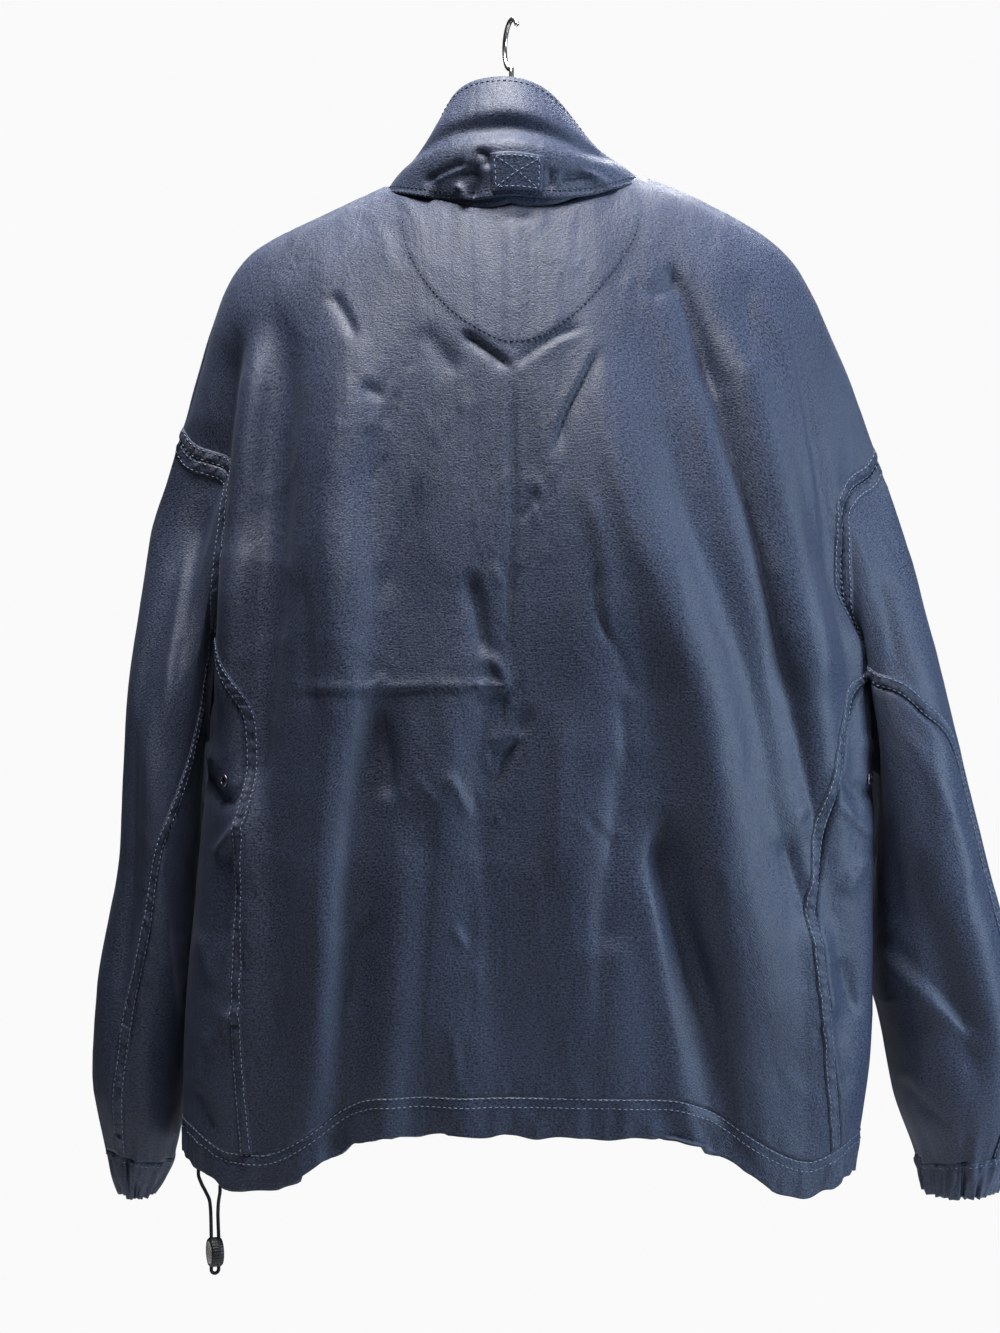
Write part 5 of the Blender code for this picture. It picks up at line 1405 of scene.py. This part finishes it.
def tube(name, path, radius, material, sides=16):
    """A closed tube along a path, with flat ends."""
    grid = tube_grid(path, radius, sides)
    last = len(grid) * sides
    faces = grid_faces(len(grid), sides, True).reshape(-1, 4).tolist()
    ends = [list(range(sides)), list(range(last - 1, last - sides - 1, -1))]
    return mesh_piece(name, grid.reshape(-1, 3), faces + ends, material)


def turned_grid(profile, centre, axis, sides, ribs=0, depth=0.0):
    """Rings of a profile's radii and heights round an axis; a third value says where ribs are cut."""
    axis = unit(np.asarray(axis, float))
    first = unit(np.cross(axis, (0.0, 0.0, 1.0) if abs(axis[2]) < 0.9 else (1.0, 0.0, 0.0)))
    second = np.cross(axis, first)
    turn = np.arange(sides) * 2 * math.pi / sides
    spokes = np.cos(turn)[:, None] * first + np.sin(turn)[:, None] * second
    profile = np.array(profile, float)
    cut = depth * profile[:, 2:] * (0.5 + 0.5 * np.cos(ribs * turn)) if ribs else 0
    radius = profile[:, :1] - cut + 0 * turn
    return np.asarray(centre) + radius[..., None] * spokes + profile[:, 1][:, None, None] * axis


def turned(name, profile, centre, axis, material, sides=32, ribs=0, depth=0.0):
    """A turned piece; its profile runs from the axis at the top over the outside to the bottom."""
    grid = turned_grid(profile, centre, axis, sides, ribs, depth)
    faces = grid_faces(*grid.shape[:2], True).reshape(-1, 4)
    return mesh_piece(name, grid.reshape(-1, 3), faces.tolist(), material)


# An eyelet's rolled ring: its radius, half width, height over the cloth and half height; then radius
# and height pairs of a black disc inside it, painted shade where the hole would be
RING_RADIUS, RING_HALF = 0.004, 0.0012
RING_OVER, RING_TALL = 0.0005, 0.0009
PAINTED_HOLE_SHADE = [(0.0001, 0.00045), (0.0031, 0.00045), (0.0034, 0.0001)]


def eyelet(side, panel):
    """A rolled metal ring on the side panel, at the place of its CAD node, and a black disc of painted
    shade in its middle for the hole.
    """
    low, high = (np.array(corner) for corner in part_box(f"eyelet_{side}"))
    flat = panel.reshape(-1, 3)
    k = np.argmin(np.linalg.norm(flat - (low + high) / 2, axis=1))
    centre, axis = flat[k], grid_normals(panel).reshape(-1, 3)[k]
    bend = -np.linspace(0, 2 * math.pi, 13)
    ring = np.stack([RING_RADIUS + RING_HALF * np.cos(bend), RING_OVER + RING_TALL * np.sin(bend)], axis=-1)
    put(turned(f"eyelet_ring_{side}", ring, centre, axis, GUNMETAL), f"eyelet_{side}")
    # The hole is not cut: a black disc in the ring is painted shade in its place
    put(turned(f"eyelet_hole_{side}", PAINTED_HOLE_SHADE, centre, axis, CORD_BLACK_AND_HOLE_SHADE))


# The cord's two strands: the angle where each leaves the hem, then its way down to the lock
CORD_RADIUS = 0.0014
CORD_ROUTES_SHOWN = {
    "left": (-60.0, [(-0.2488, -0.0592, -0.946), (-0.245, -0.0602, -0.953), (-0.2418, -0.0615, -0.96),
                     (-0.2408, -0.0625, -0.97)]),
    "right": (-51.5, [(-0.2332, -0.0705, -0.955), (-0.2345, -0.066, -0.963), (-0.235, -0.063, -0.972)]),
}
LOCK_CENTRE = np.array([-0.2375, -0.062, -1.0005])
LOCK_TURN = math.radians(20)
LOCK_RADIUS = 0.0118
LOCK_HALF = 0.005
CORD_SPREAD = 0.003
CORD_LEAD = (0.0002, 0.005)
LOOP_DROP = 0.0022
LOCK_EDGE = 0.0012
LOCK_SUNK = 0.0004
LOCK_RIBS = 32
RIB_DEEP = 0.0009
AXIS = 0.0001


def drawcord():
    """One shock cord: out of the hem, through the lock, round its loop and back up into the hem."""
    axis = np.array([-math.cos(LOCK_TURN), -math.sin(LOCK_TURN), 0.0])
    up = np.array([0.0, 0.0, 1.0])
    strands = {}
    for side, (degrees, route) in CORD_ROUTES_SHOWN.items():
        angle = math.radians(degrees)
        edge = body(angle, 1.0) - CASING / 2 * normals_of(body, angle, 0.999)
        lead = [edge - drop * up for drop in CORD_LEAD]
        end = LOCK_CENTRE - SIDES[side] * CORD_SPREAD * axis + (LOCK_RADIUS + 0.0006) * up
        strands[side] = smooth_route([*lead, *route, end], 40)
    bend = np.linspace(0, math.pi, 13)[:, None]
    low = LOCK_CENTRE - (LOCK_RADIUS + LOOP_DROP) * up
    loop = low + CORD_SPREAD * (np.cos(bend) * axis - np.sin(bend) * up)
    path = np.concatenate([strands["left"], loop, strands["right"][::-1]])
    arc = arc_length(path)
    even = np.linspace(0, arc[-1], 260)
    path = np.stack([np.interp(even, arc, path[:, k]) for k in range(3)], axis=-1)
    cord = put(tube("shock_cord", path, CORD_RADIUS, CORD_BLACK_AND_HOLE_SHADE, 12),
               ["drawcord_left", "drawcord_right", "drawcord_loop"])
    half, edge, wide, sunk = LOCK_HALF, LOCK_EDGE, LOCK_RADIUS, LOCK_HALF - LOCK_SUNK
    drum = [(AXIS, sunk, 0), (wide - 2 * edge, sunk, 0), (wide - edge, half, 0), (wide, half - edge, 1),
            (wide, half - edge - 0.0006, 1), (wide, 0, 1), (wide, edge - half, 1), (wide - edge, -half, 0),
            (AXIS, -half, 0)]
    drum = turned("lock_drum", drum, LOCK_CENTRE, axis, LOCK_BLACK, 3 * LOCK_RIBS, LOCK_RIBS, RIB_DEEP)
    lock = put(drum, "cord_lock")
    disc = [(AXIS, half + 0.0002), (wide - 2.6 * edge, half + 0.0002), (wide - 2.2 * edge, sunk)]
    face = put(turned("lock_button", disc, LOCK_CENTRE, axis, LOCK_GREY, 40))


ZIP_BEHIND = CLOTH + 0.0011
TOOTH_PITCH = 0.0019
TOOTH = np.array([0.0036, 0.0014, 0.0013])
TOOTH_ASIDE = 0.0009
TAPE_THICK = 0.0009


def zip_fastener():
    """Tape behind the slit and two rows of small teeth; the slider and its pull stay as in the CAD."""
    top = stand(2 - ZIP_TAPE_HALF / NECK_HALF, np.linspace(0.06, 0.94, 6))
    low = body(math.pi, np.linspace(NECK_FRONT + 0.006, SLIT_END + 0.01, 40))
    line = np.concatenate([top, low])[:, 1:]
    columns = np.linspace(ZIP_TAPE_HALF, -ZIP_TAPE_HALF, 9)
    tape = np.zeros((len(line), len(columns), 3))
    tape[..., 0] = columns
    tape[..., 1] = line[:, :1] - ZIP_BEHIND
    tape[..., 2] = line[:, 1:]
    band = cloth("zip_band", tape, ZIP_TAPE_CLOTH, TAPE_THICK)
    sheet(band, "zip_tape")
    arc = arc_length(line)
    at = np.arange(0.01, arc[-1] - 0.016, TOOTH_PITCH)
    y, z = np.interp(at, arc, line[:, 0]) - ZIP_BEHIND, np.interp(at, arc, line[:, 1])
    corner = np.array([[a, b, c] for c in (-0.5, 0.5) for b in (0, 1) for a in (-0.5, 0.5)])
    block = np.array([[0, 2, 3, 1], [4, 5, 7, 6], [0, 1, 5, 4], [2, 6, 7, 3], [0, 4, 6, 2], [1, 3, 7, 5]])
    side = np.where(np.arange(len(at)) % 2, 1, -1) * TOOTH_ASIDE
    points = corner * TOOTH + np.stack([side, y, z], axis=-1)[:, None]
    faces = block[None] + len(corner) * np.arange(len(at))[:, None, None]
    put(mesh_piece("zip_teeth", points.reshape(-1, 3), faces.reshape(-1, 4).tolist(), METAL))
    for name in ("zip_slider", "zip_pull"):
        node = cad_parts[name]
        node.data.materials.clear()
        node.data.materials.append(METAL)


HOOK_WIRE = 0.004
HOOK_RADIUS = 0.02
HOOK_TURN = math.radians(106)
HOOK_ARC = (-90, 142)
HOOK_NECK = 0.004
BAR_THICK = 0.013
BAR_HALF = 0.196
BAR_BELOW_RIDGE = 0.0108


def hanger():
    """The bar under the shoulder ridge and the wire hook that stands in its middle."""
    u = np.linspace(-1, 1, 401)
    ridge = body(np.arcsin(u), 0.0)
    across = np.linspace(-BAR_HALF, BAR_HALF, 65)
    height = np.interp(across, ridge[:, 0], ridge[:, 2]) - BAR_BELOW_RIDGE
    bar = np.stack([across, 0 * across, height], axis=-1)
    put(tube("hanger_arms", bar, BAR_THICK / 2, BAR, 24), "hanger_bar")
    foot = bar[len(bar) // 2, 2] + BAR_THICK / 2
    centre = HOOK_WIRE / 2 - HOOK_RADIUS
    level = np.array([math.cos(HOOK_TURN), math.sin(HOOK_TURN), 0.0])
    up = np.array([0.0, 0.0, 1.0])
    arc = np.radians(np.linspace(*HOOK_ARC, 61))[:, None]
    bow = HOOK_RADIUS * np.cos(arc) * level + (centre + HOOK_RADIUS * np.sin(arc)) * up
    stem = np.linspace(foot, centre - HOOK_RADIUS - HOOK_NECK, 4)[:, None] * up
    put(tube("hook_wire", np.concatenate([stem, bow]), HOOK_WIRE / 2, WIRE, 16), "hanger_hook")


FLOOR_Z = -1.6
FLOOR_HALF = 1.6


def studio():
    """A pale floor far under the garment, light from above, and a camera level with its middle."""
    scene = bpy.context.scene
    scene.view_settings.view_transform = "Standard"
    scene.view_settings.gamma = PRINT_CONTRAST
    corners = [(x * FLOOR_HALF, y * FLOOR_HALF, FLOOR_Z) for x, y in ((-1, -1), (1, -1), (1, 1), (-1, 1))]
    paint = shader("pale floor", 0.9, (0.86, 0.86, 0.86))
    floor = mesh_piece("floor", np.array(corners), [[0, 1, 2, 3]], paint)
    scene.collection.objects.link(floor)
    for name, place, aim, size, watts, colour in LIGHTS:
        lamp = bpy.data.lights.new(name, "AREA")
        lamp.size = size
        lamp.energy = watts
        lamp.color = colour
        obj = bpy.data.objects.new(name, lamp)
        obj.location = place
        way = np.array(aim) - np.array(place)
        flat = math.hypot(way[0], way[1])
        obj.rotation_euler = (math.atan2(flat, -way[2]), 0, math.atan2(way[1], way[0]) - math.pi / 2)
        scene.collection.objects.link(obj)
    world = bpy.data.worlds.new("studio")
    world.use_nodes = True
    scene.world = world
    nodes, links = world.node_tree.nodes, world.node_tree.links
    room = nodes["Background"]
    place = nodes.new("ShaderNodeTexCoord")
    split = nodes.new("ShaderNodeSeparateXYZ")
    links.new(place.outputs["Generated"], split.inputs["Vector"])
    ramp = nodes.new("ShaderNodeMapRange")
    for key, value in zip(("From Min", "From Max", "To Min", "To Max"), (-0.3, 1.0, *ROOM)):
        ramp.inputs[key].default_value = value
    links.new(split.outputs["Z"], ramp.inputs["Value"])
    links.new(ramp.outputs["Result"], room.inputs["Strength"])
    seen = nodes.new("ShaderNodeBackground")
    seen.inputs["Strength"].default_value = 1.0
    seen.inputs["Color"].default_value = (0.96, 0.96, 0.96, 1)
    room.inputs["Color"].default_value = (0.94, 0.97, 1.0, 1)
    pick_one = nodes.new("ShaderNodeMixShader")
    path = nodes.new("ShaderNodeLightPath")
    links.new(path.outputs["Is Camera Ray"], pick_one.inputs[0])
    links.new(room.outputs[0], pick_one.inputs[1])
    links.new(seen.outputs[0], pick_one.inputs[2])
    links.new(pick_one.outputs[0], nodes["World Output"].inputs["Surface"])
    lens = bpy.data.cameras.new("camera")
    lens.lens = LENS
    camera = bpy.data.objects.new("camera", lens)
    camera.location = EYE
    camera.rotation_euler = (math.pi / 2, 0, 0)
    scene.collection.objects.link(camera)
    scene.camera = camera


# Lights: name, place, aim, size, watts, colour
LIGHTS = [
    ("overhead", (-0.1, -0.42, 0.9), (0, -0.1, -0.45), 0.6, 58, (1.0, 0.97, 0.93)),
    ("overhead front", (0.1, 0.9, 1.0), (0, 0.1, -0.45), 0.8, 46, (1.0, 0.98, 0.95)),
    ("window", (1.6, -0.55, -0.42), (0.1, -0.1, -0.55), 0.6, 33, (0.7, 0.86, 1.0)),
]
# The room's light from below and from above, and the picture's gamma, lens in mm and eye
ROOM = (0.02, 0.1)
PRINT_CONTRAST = 0.88
LENS = 65.4
EYE = (-0.0094, -2.0, -0.532)

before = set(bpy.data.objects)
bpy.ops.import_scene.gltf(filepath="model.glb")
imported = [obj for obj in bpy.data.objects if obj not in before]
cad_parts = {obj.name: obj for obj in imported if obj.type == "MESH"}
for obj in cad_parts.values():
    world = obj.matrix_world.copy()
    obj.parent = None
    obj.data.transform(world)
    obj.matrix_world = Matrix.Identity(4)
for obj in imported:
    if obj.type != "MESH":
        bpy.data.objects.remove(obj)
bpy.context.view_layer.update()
back_panel()
front_panel()
for side_name in SIDES:
    eyelet(side_name, side_panel(side_name))
    sleeve_pieces(side_name)
    cuff(side_name)
hem()
collar_wall()
collar_leaf()
stitch_rows("sewing", STITCH_LINES, THREAD)
drawcord()
zip_fastener()
hanger()
studio()
